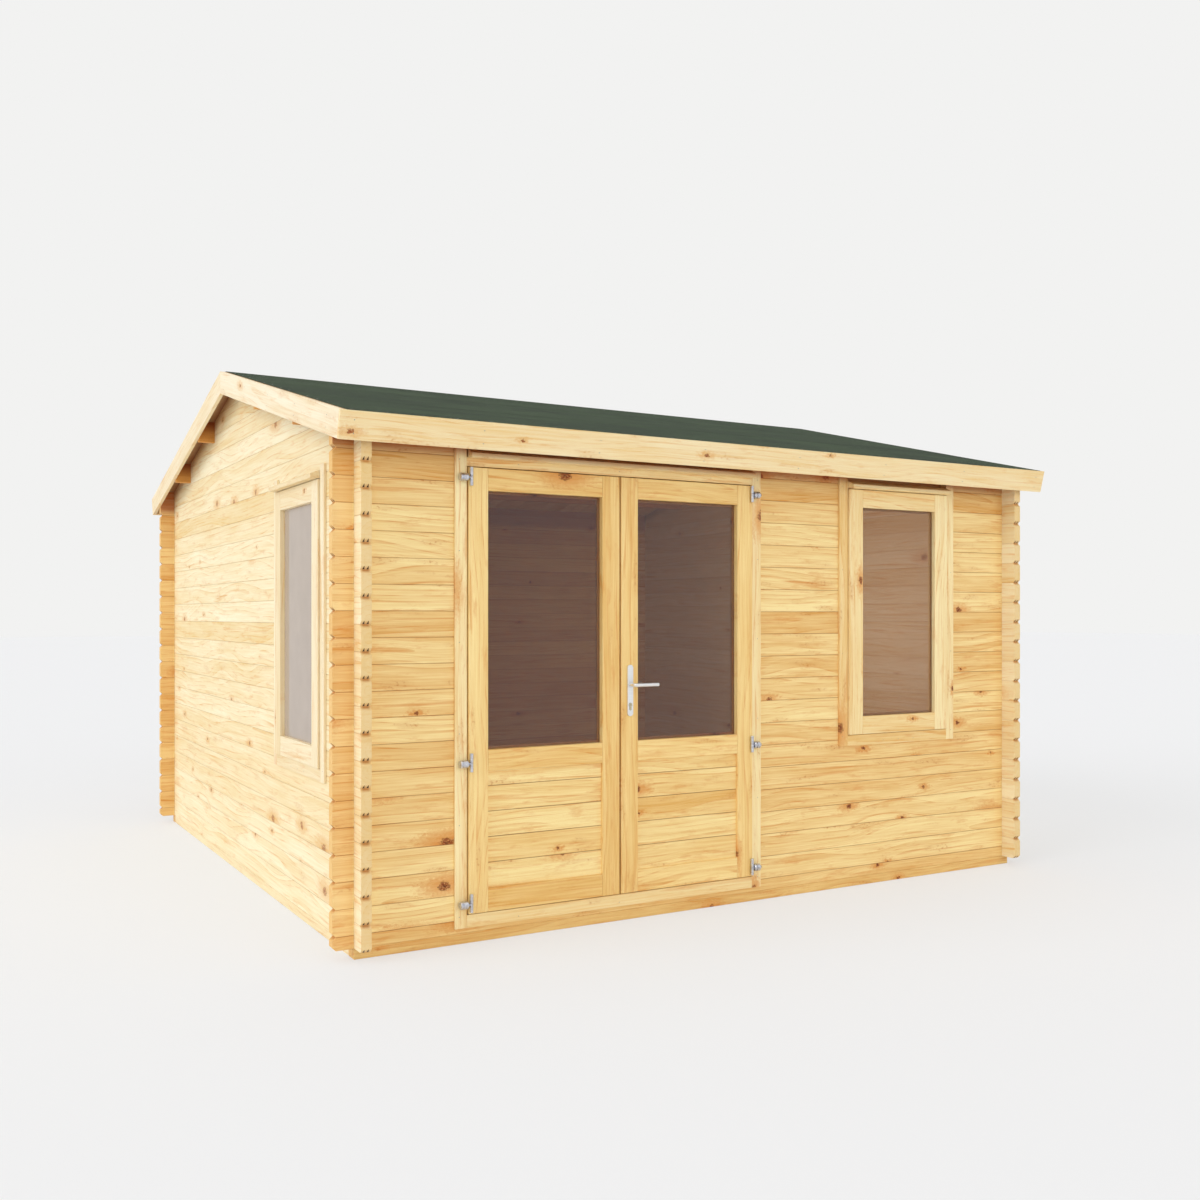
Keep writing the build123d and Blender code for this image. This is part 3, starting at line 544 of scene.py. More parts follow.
for index in range(joist_count):
    x = base_low.x + bearer_wide + joist_step * (index + 1)
    cross_bearers.append(timber((x - joist_wide / 2, base_low.y + bearer_wide, 0),
                                (x + joist_wide / 2, base_high.y - bearer_wide, base_high.z), 1, 0.002,
                                face=0))
assembled("cross_bearers", cross_bearers, side_base, "cabin", ("bearer_frame",))

floor_low, floor_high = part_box("floor_boards")
# planed pine, a little duller than the logs, with a dark line at each joint
floor_pine = joinery_material("floor pine", ("#F1D69E", "#CFA060", "#D08E46", "#9A4F20"), joint=0.6)
board_count = 34
board_pitch = (floor_high.y - floor_low.y) / board_count
boards = []
for index in range(board_count):
    y = floor_low.y + index * board_pitch
    boards.append(timber((floor_low.x, y + hair, floor_low.z),
                         (floor_high.x, y + board_pitch - hair, floor_high.z), 0, 0.0015))
assembled("floor_planks", boards, floor_pine, "cabin", ("floor_boards",))

# ---- Roof boards and purlins --------------------------------------------------------
# Boards from ridge to eaves, tongued together with a V below, nailed to five
# purlins that run through the gables.


def slope_material(name, colours, cover):
    """Boards side by side along X that run down the slopes, with painted shade past the gable walls."""
    material, tree, out = new_material(name)
    place = put(tree, "SeparateXYZ", put(tree, "TexCoord").outputs["Object"]).outputs
    row = put(tree, "Math DIVIDE", place[0], cover)
    within = put(tree, "Math MULTIPLY", put(tree, "Math SUBTRACT", put(tree, "Math FRACT", row), 0.5),
                 cover)
    board = put(tree, "Math MULTIPLY_ADD", put(tree, "Math SIGN", place[1]), 61.0,
                put(tree, "Math ADD", put(tree, "Math FLOOR", row), 157.0))
    edge = put(tree, "Math SUBTRACT", cover / 2, put(tree, "Math ABSOLUTE", within))
    seam = put(tree, "MapRange", edge, 0.0006, 0.0024, 0.75, 0.0)
    overhang = put(tree, "Math ABSOLUTE", place[0])
    shade = put(tree, "Math MULTIPLY", put(tree, "MapRange", overhang, wall_out - 0.010, wall_out - 0.005),
                put(tree, "MapRange", overhang, wall_out + 0.002, wall_out + 0.075, 0.90, 0.30))

    def ends(colour):
        return put(tree, "Mix", {0: shade, 6: colour, 7: linear("#7A3812")}, data_type="RGBA")

    wood_shader(tree, out, place[1], within, place[2], board, colours, seam, ends=ends)
    return material


# planed pine boards, seen from below: honey, with red-brown painted shade where they pass the gables
roof_pine = slope_material("roof boards", ("#F3D59C", "#CE9F5C", "#D08C42", "#9A4F20"), 0.0952)
finish("roof_boards_front", roof_pine)
finish("roof_boards_back", roof_pine)

# planed pine, drawn deep honey as painted shade for purlins under the roof, and red-brown painted shade close
# under the boards
purlin_pine, tree, out = new_material("purlin pine")
grown = put(tree, "SeparateXYZ", put(tree, "Attribute", attribute_name="grain").outputs["Vector"]).outputs
place = put(tree, "SeparateXYZ", put(tree, "TexCoord").outputs["Object"]).outputs
darkening = roof_shade_share(tree, place, 0.110, 0.85)
board = put(tree, "Attribute", attribute_name="board").outputs["Fac"]
wood_shader(tree, out, grown[0], grown[1], grown[2], board, ("#E6AC5C", "#C27E34", "#C07028", "#8A4218"),
            ends=lambda colour: put(tree, "Mix", {0: darkening, 6: colour, 7: linear("#8A3814")},
                                    data_type="RGBA"))
purlin_half, past_boards = 0.022, 0.020
ridge_low, ridge_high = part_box("ridge_purlin")
run_off = {side: ((0, 0, apex_z), (0, side * roof_slope, 1)) for side in (-1, 1)}
ridge = timber((ridge_low.x, ridge_low.y, ridge_low.z), (ridge_high.x, ridge_high.y, apex_z), 0, 0.0040,
               cuts=[run_off[-1], run_off[1]], face=1)
assembled("ridge_beam", [ridge], purlin_pine, "cabin", ("ridge_purlin",))
for name, side in (("front", -1), ("back", 1)):
    low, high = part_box(f"{name}_purlins")
    middles = sorted((low.y + purlin_half, high.y - purlin_half), key=abs)
    depth = apex_z - roof_slope * abs(middles[1]) - low.z
    beams = []
    for y in middles:
        bottom = apex_z - roof_slope * abs(y) - depth
        beams.append(timber((low.x, y - purlin_half, bottom),
                            (high.x, y + purlin_half, bottom + depth + past_boards), 0, 0.0040,
                            cuts=[run_off[side]], face=1))
    assembled(f"{name}_beams", beams, purlin_pine, "cabin", (f"{name}_purlins",))

# ---- Fascias and barge boards -------------------------------------------------------
# Planed boards round the roof's edge: fascias along the eaves and mitred barge
# boards up the gables, nailed to the roof boards and the purlins' ends.
trim_low, trim_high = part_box("front_fascia")
felt_low, felt_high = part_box("front_roof_felt")
roof_trim = 0.022     # from the roof boards' underside plane up to the felt's top
trim_drop = 0.003     # from the felt's top down to the upper edges of the fascias and barge boards
fascia_wide, fascia_thick = 0.120, 0.020
apex = felt_high.z - roof_trim / math.cos(roof_pitch)
slope_run = (-trim_low.y - (roof_trim - trim_drop) * math.sin(roof_pitch)) / math.cos(roof_pitch)
plumb = ((0, 0, 0), (0, math.cos(roof_pitch), -math.sin(roof_pitch)))
# planed pine, a little paler than the logs beside it, with faint rings; the barge boards paler again, as
# painted light on the gables
trim_pine = joinery_material("trim pine, front", ("#FFF2CC", "#EFC981", "#E2A350", "#A85420"))
barge_pine = joinery_material("trim pine, gables", ("#FBF0D6", "#E9CE99", "#E3B06A", "#B4642B"))


def down_slope(side):
    """Takes a piece drawn flat, with the ridge on y = 0 and the eaves at -y, to its slope."""
    matrix = Matrix.Translation((0, 0, apex)) @ Matrix.Rotation(roof_pitch, 4, "X")
    return matrix if side < 0 else Matrix.Rotation(math.pi, 4, "Z") @ matrix


for name, side in (("front", -1), ("back", 1)):
    board = timber((trim_low.x, -slope_run, roof_trim - fascia_wide),
                   (trim_high.x, -slope_run + fascia_thick, roof_trim - trim_drop), 0, 0.0018, face=1)
    assembled(f"{name}_fascia_board", [board], trim_pine, "cabin", (f"{name}_fascia",),
              down_slope(side))
    pair = []
    for x in (trim_low.x + 0.0005, trim_high.x - fascia_thick - 0.0005):
        pair.append(timber((x, -slope_run + fascia_thick, roof_trim - fascia_wide),
                           (x + fascia_thick, 0.06, roof_trim - trim_drop), 1, 0.0014, cuts=[plumb],
                           face=0))
    assembled(f"{name}_barge_pair", pair, barge_pine, "cabin", (f"{name}_barge_boards",),
              down_slope(side))

# ---- Roofing felt -----------------------------------------------------------------
# Green mineral felt, rolled out along the roof in lapped strips, with a strip
# folded over the ridge, and clout nails along the edges and laps.

# green grit of 1.5 mm pressed into felt: matt and speckled, with long streaks from the roll
felt_green, tree, out = new_material("green mineral felt")
place = put(tree, "TexCoord").outputs["Object"]
grit = put(tree, "TexVoronoi", {"Vector": place, "Scale": 650.0})
grit_parts = put(tree, "SeparateColor", grit.outputs["Color"])
mottle = put(tree, "TexNoise", {"Vector": place, "Scale": 2.4, "Detail": 5.0, "Roughness": 0.62})
rolled = put(tree, "Mapping", {"Vector": place, "Scale": (0.9, 11.0, 11.0)})
streaks = put(tree, "TexNoise", {"Vector": rolled, "Scale": 1.0, "Detail": 3.0})
tone = put(tree, "Math MULTIPLY_ADD", put(tree, "MapRange", mottle, 0.38, 0.62), 0.35,
           put(tree, "Math MULTIPLY", put(tree, "MapRange", streaks, 0.36, 0.64), 0.45))
tone = put(tree, "Math MULTIPLY_ADD", grit_parts.outputs[0], 0.2, tone)
colour = put(tree, "Mix", {0: tone, 6: linear("#1C271A"), 7: linear("#38482F")}, data_type="RGBA")
colour = put(tree, "Mix", {0: put(tree, "Math GREATER_THAN", grit_parts.outputs[1], 0.94), 6: colour,
                           7: linear("#647560")}, data_type="RGBA")
bump = put(tree, "Bump", {"Height": grit.outputs["Distance"], "Strength": 0.5, "Distance": 0.0008})
shader = put(tree, "BsdfPrincipled", {"Base Color": colour, "Roughness": 0.93, "Normal": bump,
                                      "Specular IOR Level": 0.25})
tree.links.new(shader.outputs[0], out.inputs["Surface"])

felt_run = slope_run - 0.004
felt_bed, felt_thick, past_ridge, cap_reach = 0.0192, 0.0015, 0.020, 0.150
# strips: upper edge, lower edge and how far each lies above the bed, over the one below it
felt_laps = ((-past_ridge, 0.72, 0.0008), (0.64, 1.44, 0.0004), (1.36, felt_run, 0.0))
for name, side in (("front", -1), ("back", 1)):
    strips = []
    for start, end, lift in felt_laps:
        strips.append(timber((felt_low.x, -end, felt_bed + lift),
                             (felt_high.x, -start, felt_bed + lift + felt_thick), 0, 0.0003,
                             cuts=[plumb] if start < 0 else [], face=2))
    strips.append(timber((felt_low.x, -cap_reach, 0.0204), (felt_high.x, past_ridge, 0.0219), 0, 0.0003,
                         cuts=[plumb], face=2))
    assembled(f"{name}_felt_strips", strips, felt_green, "cabin", (f"{name}_roof_felt",),
              down_slope(side))

# ---- Casings and frames of the doors and windows ------------------------------------
# Planed linings fitted over the sawn log ends, flat casings on both faces, and a
# stop behind the leaves.  The side boards run up past the head.
wall_face = {"front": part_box("front_wall_base")[0].y, "left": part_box("left_wall_lower")[0].x}
# planed joinery pine: the casings a little paler than the leaves, the left window's paler again as painted
# light;
# the front casings take painted shade close under the roof
door_pine = joinery_material("door pine", ("#FFE4A0", "#DEA54C", "#D8822A", "#7E2A08"))
casing_pine = joinery_material("casing pine, front", ("#FFEDB8", "#E8B866", "#DC8E3A", "#8A3A10"),
                               eaves=0.85)
pale_pine = joinery_material("joinery pine, left", ("#FBF0D2", "#E8CC94", "#E3AE66", "#B4642B"))
joinery = {"front": casing_pine, "left": pale_pine}


def flat_box(node, side):
    """A node's box as seen square on from outside: x along the wall, y in from its face."""
    low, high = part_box(node)
    face = wall_face[side]
    if side == "front":
        return Vector((low.x, low.y - face, low.z)), Vector((high.x, high.y - face, high.z))
    return Vector((-high.y, low.x - face, low.z)), Vector((-low.y, high.x - face, high.z))


def on_wall(side):
    """Takes a piece drawn square on to its wall."""
    if side == "front":
        return Matrix.Translation((0, wall_face["front"], 0))
    return Matrix.Rotation(-math.pi / 2, 4, "Z") @ Matrix.Translation((0, wall_face["left"], 0))


casing_wide, casing_thick = 0.055, 0.012
head_rise = 0.038                         # the head casing's upper edge over the opening
lining_top, lining_foot, sill = 0.018, 0.020, 0.022
stop_show = 0.012                         # how far a stop stands in behind the leaf
door_gap, door_stop, door_lining = 0.005, 0.028, 0.030
window_gap, window_stop, window_lining = 0.003, 0.0222, 0.020


def cased_frame(node, leaves, side, gap, stop_at, lining):
    """Boards of one frame: linings, outer and inner casings and stops."""
    low, high = flat_box(node, side)
    x0, x1 = low.x + casing_wide, high.x - casing_wide
    z0, z1 = low.z + casing_wide, leaves[1].z + gap
    head_top = leaves[1].z + gap + head_rise
    parts = []
    back = log_thick + casing_thick
    for a, b in ((low.x, x0), (x1, high.x)):
        parts.append(timber((a, -casing_thick, low.z), (b, -hair, high.z), 2))
        parts.append(timber((a, log_thick + hair, low.z), (b, back, z1 + casing_wide), 2))
    parts.append(timber((x0 + hair, -casing_thick, low.z), (x1 - hair, -hair, z0), 0))
    parts.append(timber((x0 + hair, -casing_thick, z1), (x1 - hair, -hair, head_top), 0))
    for z in (low.z, z1):
        parts.append(timber((x0 + hair, log_thick + hair, z), (x1 - hair, back, z + casing_wide), 0))
    for a, b in ((x0 - lining, x0), (x1, x1 + lining)):
        parts.append(timber((a, 0, z0 - lining_foot), (b, log_thick, z1 + lining_top), 2, 0.001))
    parts.append(timber((x0 - lining, 0, z0 - sill), (x1 + lining, log_thick, z0), 0, 0.001))
    parts.append(timber((x0 - lining, 0, z1), (x1 + lining, log_thick, z1 + lining_top), 0, 0.001))
    stop = gap + stop_show
    for a, b in ((x0, x0 + stop), (x1 - stop, x1)):
        parts.append(timber((a + hair, stop_at, z0 + hair), (b - hair, back - 0.001, z1 - hair), 2))
    for z in (z0, z1 - stop):
        parts.append(timber((x0 + stop, stop_at, z + hair), (x1 - stop, back - 0.001, z + stop - hair), 0))
    return parts


leaf_boxes = [flat_box(n, "front") for n in ("left_door_leaf", "right_door_leaf")]
both = (leaf_boxes[0][0], leaf_boxes[1][1])
door_casing = cased_frame("door_frame", both, "front", door_gap, door_stop, door_lining)
assembled("door_casing", door_casing, joinery["front"], "cabin", ("door_frame",),
          on_wall("front"))
sash_boxes = {side: flat_box(f"{side}_window_sash", side) for side in ("front", "left")}
for side, sash in sash_boxes.items():
    frame_parts = cased_frame(f"{side}_window_frame", sash, side, window_gap, window_stop, window_lining)
    assembled(f"{side}_window_casing", frame_parts, joinery[side], "cabin",
              (f"{side}_window_frame",), on_wall(side))

# ---- Door leaves --------------------------------------------------------------------
# Framed doors: stiles through, rails tenoned between them, a pane above the lock
# rail and tongued boards below it.
stile, top_rail, lock_rail, bottom_rail = 0.090, 0.096, 0.092, 0.100
lock_rail_at, panel_board, panel_tongue = 0.604, 0.110, 0.006
bead, bed = 0.012, 0.0005    # a glazing bead, and the bed left between it and the pane
# planed pine boards of the leaves' colour, with thin dark joints
panel_pine = joinery_material("panel pine", ("#FFE8A6", "#E0A74F", "#D8822A", "#7E2A08"), joint=0.7)


def framed(low, high, rails, stile_wide, ease=0.0016):
    """Two stiles with rails between them; a rail is (lower edge, height)."""
    parts = [timber(low, (low.x + stile_wide, high.y, high.z), 2, ease),
             timber((high.x - stile_wide, low.y, low.z), high, 2, ease)]
    for z, height in rails:
        parts.append(timber((low.x + stile_wide + hair, low.y + 0.0004, z),
                            (high.x - stile_wide - hair, high.y - 0.0004, z + height), 0, ease))
    return parts


def beads(x0, x1, z0, z1, y0, y1, width):
    """Glazing beads round a pane, mitred at the corners."""
    parts = []
    for at, inward in ((z0, 1), (z1, -1)):
        low, high = sorted((at, at + inward * width))
        cuts = [((x0, 0, at), (-1, 0, inward)), ((x1, 0, at), (1, 0, inward))]
        parts.append(timber((x0, y0, low), (x1, y1, high), 0, 0.0012, cuts=cuts))
    for at, inward in ((x0, 1), (x1, -1)):
        low, high = sorted((at, at + inward * width))
        cuts = [((at, 0, z0), (inward, 0, -1)), ((at, 0, z1), (inward, 0, 1))]
        parts.append(timber((low, y0, z0), (high, y1, z1), 2, 0.0012, cuts=cuts))
    return parts


for name, (low, high) in zip(("left", "right"), leaf_boxes):
    body = f"{name}_door"
    lock_z = low.z + lock_rail_at
    rails = ((high.z - top_rail, top_rail), (lock_z, lock_rail), (low.z, bottom_rail))
    parts = framed(low, high, rails, stile)
    pane_high = flat_box(f"{name}_door_glass", "front")[1]
    parts += beads(low.x + stile, high.x - stile, lock_z + lock_rail, high.z - top_rail,
                   pane_high.y + bed, pane_high.y + bed + bead, bead)
    assembled(f"{name}_leaf_frame", parts, door_pine, body, (f"{name}_door_leaf",),
              on_wall("front"))
    panel_low, panel_high = flat_box(f"{name}_door_panel", "front")
    x0, x1 = low.x + stile - panel_tongue, high.x - stile + panel_tongue
    z0, z1 = low.z + bottom_rail, lock_z
    parts = []
    for index in range(math.ceil((z1 - z0) / panel_board)):
        low_z = z0 + index * panel_board + hair if index else z0 - panel_tongue
        high_z = min(z0 + (index + 1) * panel_board - hair, z1 + panel_tongue)
        parts.append(timber((x0, panel_low.y, low_z), (x1, panel_high.y, high_z), 0, 0.0022))
    assembled(f"{name}_panel_boards", parts, panel_pine, body, (f"{name}_door_panel",),
              on_wall("front"))

# ---- Window sashes ------------------------------------------------------------------
# Fixed sashes with square corners: stiles through, rails between, a pane held by
# beads on the room side.
rail, pane_back = 0.092, 0.026
for side, (low, high) in sash_boxes.items():
    parts = framed(low, high, ((high.z - rail, rail), (low.z, rail)), rail)
    pane_y = low.y + pane_back
    parts += beads(low.x + rail, high.x - rail, low.z + rail, high.z - rail, pane_y + bed,
                   pane_y + bed + bead, bead)
    assembled(f"{side}_sash_frame", parts, joinery[side], "cabin", (f"{side}_window_sash",),
              on_wall(side))

# ---- Weather bars ---------------------------------------------------------------------
# A planed bar over each opening, its top sloped so that rain runs off in front of
# the leaves and sashes.
bar_depth, bar_front, bar_back = 0.042, 0.020, 0.038
fall = (bar_back - bar_front) / bar_depth
bars = {"front": [], "left": []}
for side, (low, high), rise in (("front", both, 0.039), ("front", sash_boxes["front"], window_gap),
                                ("left", sash_boxes["left"], window_gap)):
    y_back, y_front, z = -casing_thick, -casing_thick - bar_depth, high.z + rise
    bar = timber((low.x, y_front, z), (high.x, y_back - hair, z + bar_back), 0, 0.0018,
                 cuts=[((low.x, y_front, z + bar_front), (0, -fall, 1))], face=1)
    bars[side].append(moved(bar, on_wall(side)))
assembled("front_weather_bars", bars["front"], casing_pine, "cabin", ("drip_bars",))
assembled("left_weather_bar", bars["left"], pale_pine, "cabin", ("drip_bars",))

# ---- Hinges -------------------------------------------------------------------------
# Adjustable screw-in hinges in bright zinc-plated steel: a pin on a threaded barrel
# in the frame, and a knuckle on each leaf that drops over it.

# bright zinc over turned steel: a clean gleam with a little bloom and turning marks, which are
# drawn 1.1 mm apart, coarser than real ones, so that they show
steel, tree, out = new_material("zinc-plated steel")
place = put(tree, "TexCoord").outputs["Object"]
round_bar = put(tree, "Mapping", {"Vector": place, "Scale": (900.0, 40.0, 40.0)})
turned_marks = put(tree, "TexNoise", {"Vector": round_bar, "Scale": 1.0, "Detail": 2.0})
bloom = put(tree, "TexNoise", {"Vector": place, "Scale": 120.0, "Detail": 3.0})
colour = put(tree, "Mix", {0: put(tree, "MapRange", bloom, 0.35, 0.7), 6: linear("#DCDDE3"),
                           7: linear("#BCBEC7")}, data_type="RGBA")
rough = put(tree, "MapRange", turned_marks, 0.3, 0.7, 0.26, 0.42)
bump = put(tree, "Bump", {"Height": turned_marks, "Strength": 0.12, "Distance": 0.0002})
shader = put(tree, "BsdfPrincipled", {"Base Color": colour, "Metallic": 1.0, "Roughness": rough,
                                      "Normal": bump})
tree.links.new(shader.outputs[0], out.inputs["Surface"])


def turned_rod(radius, length, place, axis, ease=0.0012, sides=32, taper=None, back=False):
    """A round bar turned in a lathe, its ends eased, or tapered from one radius to the other."""
    bpy.ops.object.select_all(action="DESELECT")
    turn = {"z": (0, 0, 0), "x": (0, math.pi / 2, 0), "y": (math.pi / 2, 0, 0)}[axis]
    far = radius if taper is None else taper
    near, far = (far, radius) if back else (radius, far)
    bpy.ops.mesh.primitive_cone_add(vertices=sides, radius1=near, radius2=far, depth=length, location=place,
                                    rotation=turn)
    piece = bpy.context.object
    bpy.ops.object.transform_apply(location=True, rotation=True, scale=True)
    bpy.ops.object.mode_set(mode="EDIT")
    bpy.ops.mesh.select_mode(type="FACE")
    bpy.ops.mesh.select_all(action="DESELECT")
    bpy.ops.mesh.select_face_by_sides(number=4, type="GREATER")
    bpy.ops.mesh.region_to_loop()
    bpy.ops.mesh.bevel(offset=ease, segments=3, affect="EDGES")
    bpy.ops.object.mode_set(mode="OBJECT")
    return piece


def copied(piece, shift):
    """A copy with its own mesh, moved over."""
    twin = piece.copy()
    twin.data = piece.data.copy()
    bpy.context.collection.objects.link(twin)
    return moved(twin, Matrix.Translation(shift))


leaf_low = leaf_boxes[0][0].z
hinge_heights = (leaf_low + 0.047, leaf_low + 0.646, leaf_boxes[0][1].z - 0.040)
hinge_y = wall_face["front"] + both[0].y - 0.010
pivot_in = 0.008             # from the leaf's edge to the pin
pin, stalk = 0.0075, 0.0042
foot_away, foot_half = 0.036, 0.013
# what is turned on each barrel, from the pin outwards: radius, length, how far out its middle is,
# ease, facets, and the radius that it tapers to
turned_steps = {"left": ((0.0060, 0.0060, 0.0145, 0.0003, 32, 0.0125),
                         (0.0125, 0.0020, 0.0185, 0.0003, 32, None),
                         (0.0172, 0.0220, 0.0305, 0.0012, 48, None),
                         (0.0150, 0.0016, 0.0423, 0.0003, 40, None),
                         (0.0172, 0.0110, 0.0485, 0.0030, 48, None)),
                "right": ((0.0130, 0.0030, 0.0105, 0.0004, 40, 0.0163),
                          (0.0172, 0.0080, 0.0160, 0.0012, 48, None),
                          (0.0105, 0.0040, 0.0220, 0.0003, 32, None),
                          (0.0172, 0.0165, 0.0322, 0.0012, 48, None),
                          (0.0150, 0.0150, 0.0479, 0.0010, 40, 0.0048))}
frame_halves = []
for side, pivot_x, out_way in (("left", both[0].x + pivot_in, -1), ("right", both[1].x - pivot_in, 1)):
    z = hinge_heights[0]
    upper = [turned_rod(pin, 0.0398, (pivot_x, hinge_y, z + 0.0202), "z", 0.0024)]
    upper += [turned_rod(stalk, 0.0090, (pivot_x, hinge_y + 0.0062, z + up), "y", 0.0005, 20)
              for up in (0.0110, 0.0300)]
    lower = [turned_rod(pin - hair, 0.0400, (pivot_x, hinge_y, z - 0.0202), "z", 0.0024)]
    at = z - 0.0045
    lower.append(turned_rod(stalk, 0.0170, (pivot_x + out_way * 0.0125, hinge_y, at), "x", 0.0004, 24))
    for radius, length, away, ease, facets, taper in turned_steps[side]:
        lower.append(turned_rod(radius, length, (pivot_x + out_way * away, hinge_y, at), "x", ease, facets,
                                taper, back=out_way < 0))
    foot_x = pivot_x + out_way * foot_away
    lower.append(timber((foot_x - foot_half, hinge_y + 0.0060, at - 0.0100),
                        (foot_x + foot_half, wall_face["front"] - casing_thick, at + 0.0100), 0, 0.0012))
    for parts, half in ((upper, "upper"), (lower, "lower")):
        bpy.ops.object.select_all(action="DESELECT")
        for part in parts:
            part.select_set(True)
        bpy.context.view_layer.objects.active = parts[0]
        bpy.ops.object.join()
        first = bpy.context.object
        set_of_three = [first] + [copied(first, (0, 0, h - z)) for h in hinge_heights[1:]]
        if half == "upper":
            assembled(f"{side}_hinge_knuckles", set_of_three, steel, f"{side}_door",
                      (f"{side}_door_knuckles",))
        else:
            frame_halves += set_of_three
assembled("frame_hinges", frame_halves, steel, "cabin", ("hinge_barrels",))

# ---- Handle and lock ------------------------------------------------------------------
# Satin aluminium levers on long round-ended plates, screwed through the leaf, with
# a profile lock cylinder below.

# brushed and anodised aluminium: a pale soft gleam; the brush marks run level and are drawn
# 0.7 mm apart, coarser than real ones, so that they show
satin, tree, out = new_material("satin aluminium")
place = put(tree, "TexCoord").outputs["Object"]
level = put(tree, "Mapping", {"Vector": place, "Scale": (9.0, 9.0, 1400.0)})
brushed = put(tree, "TexNoise", {"Vector": level, "Scale": 1.0, "Detail": 2.0})
colour = put(tree, "Mix", {0: put(tree, "MapRange", brushed, 0.3, 0.7), 6: linear("#F6F6F6"),
                           7: linear("#E4E5E7")}, data_type="RGBA")
rough = put(tree, "MapRange", brushed, 0.3, 0.7, 0.28, 0.42)
bump = put(tree, "Bump", {"Height": brushed, "Strength": 0.08, "Distance": 0.0002})
shader = put(tree, "BsdfPrincipled", {"Base Color": colour, "Metallic": 1.0, "Roughness": rough,
                                      "Normal": bump})
tree.links.new(shader.outputs[0], out.inputs["Surface"])

# painted shade in the keyway and in the gap round the cylinder: nearly black and dull
shadow, tree, out = new_material("keyway painted shade")
place = put(tree, "TexCoord").outputs["Object"]
grime = put(tree, "TexNoise", {"Vector": place, "Scale": 900.0, "Detail": 2.0})
colour = put(tree, "Mix", {0: put(tree, "MapRange", grime, 0.3, 0.7), 6: linear("#17140F"),
                           7: linear("#2E2820")}, data_type="RGBA")
shader = put(tree, "BsdfPrincipled", {"Base Color": colour, "Roughness": 0.7, "Metallic": 0.0})
tree.links.new(shader.outputs[0], out.inputs["Surface"])

# nickel over brass: a warm grey gleam, worn yellower in places
brass, tree, out = new_material("nickel-plated brass")
place = put(tree, "TexCoord").outputs["Object"]
wear = put(tree, "TexNoise", {"Vector": place, "Scale": 260.0, "Detail": 3.0})
colour = put(tree, "Mix", {0: put(tree, "MapRange", wear, 0.35, 0.7), 6: linear("#D9D2BC"),
                           7: linear("#B9A77C")}, data_type="RGBA")
shader = put(tree, "BsdfPrincipled", {"Base Color": colour, "Metallic": 1.0,
                                      "Roughness": put(tree, "MapRange", wear, 0.3, 0.7, 0.24, 0.38)})
tree.links.new(shader.outputs[0], out.inputs["Surface"])

plates_low, plates_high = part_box("handle_plates")
lock_low, lock_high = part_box("lock_cylinder")
levers_low, levers_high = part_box("door_levers")
lever_radius = 0.009
handle_x = levers_low.x + lever_radius
lever_z = (levers_low.z + levers_high.z) / 2
plate_thick = 0.008


def rounded_plate(x, wide, low_z, high_z, y0, y1, ease):
    """A flat bar with round ends that lies against the door, its face edges eased."""
    bpy.ops.object.select_all(action="DESELECT")
    bpy.ops.mesh.primitive_cube_add(size=1, location=(x, (y0 + y1) / 2, (low_z + high_z) / 2),
                                    scale=(wide, y1 - y0, high_z - low_z))
    plate = bpy.context.object
    bpy.ops.object.transform_apply(location=True, rotation=True, scale=True)
    bpy.ops.object.mode_set(mode="EDIT")
    bpy.ops.mesh.select_mode(type="EDGE")
    bpy.ops.mesh.select_all(action="DESELECT")
    bpy.ops.object.mode_set(mode="OBJECT")
    for edge in plate.data.edges:
        a, b = (plate.data.vertices[i].co for i in edge.vertices)
        edge.select = abs(a.y - b.y) > (y1 - y0) / 2
    bpy.ops.object.mode_set(mode="EDIT")
    bpy.ops.mesh.bevel(offset=wide / 2 - 0.00005, segments=14, affect="EDGES")
    bpy.ops.mesh.select_mode(type="FACE")
    bpy.ops.mesh.select_all(action="DESELECT")
    bpy.ops.mesh.select_face_by_sides(number=8, type="GREATER")
    bpy.ops.mesh.region_to_loop()
    bpy.ops.mesh.bevel(offset=ease, segments=3, affect="EDGES")
    bpy.ops.object.mode_set(mode="OBJECT")
    return plate


plates = []
plate_wide, screw_in = plates_high.x - plates_low.x, 0.017
for y0, y1 in ((plates_low.y, plates_low.y + plate_thick), (plates_high.y - plate_thick, plates_high.y)):
    plates.append(rounded_plate(handle_x, plate_wide, plates_low.z, plates_high.z, y0, y1, 0.0010))
for z in (plates_low.z + screw_in, plates_high.z - screw_in):
    plates.append(turned_rod(0.0045, 0.0012, (handle_x, plates_high.y + 0.0001, z), "y", 0.0005, 24))
assembled("lock_plates", plates, satin, "right_door", ("handle_plates",))

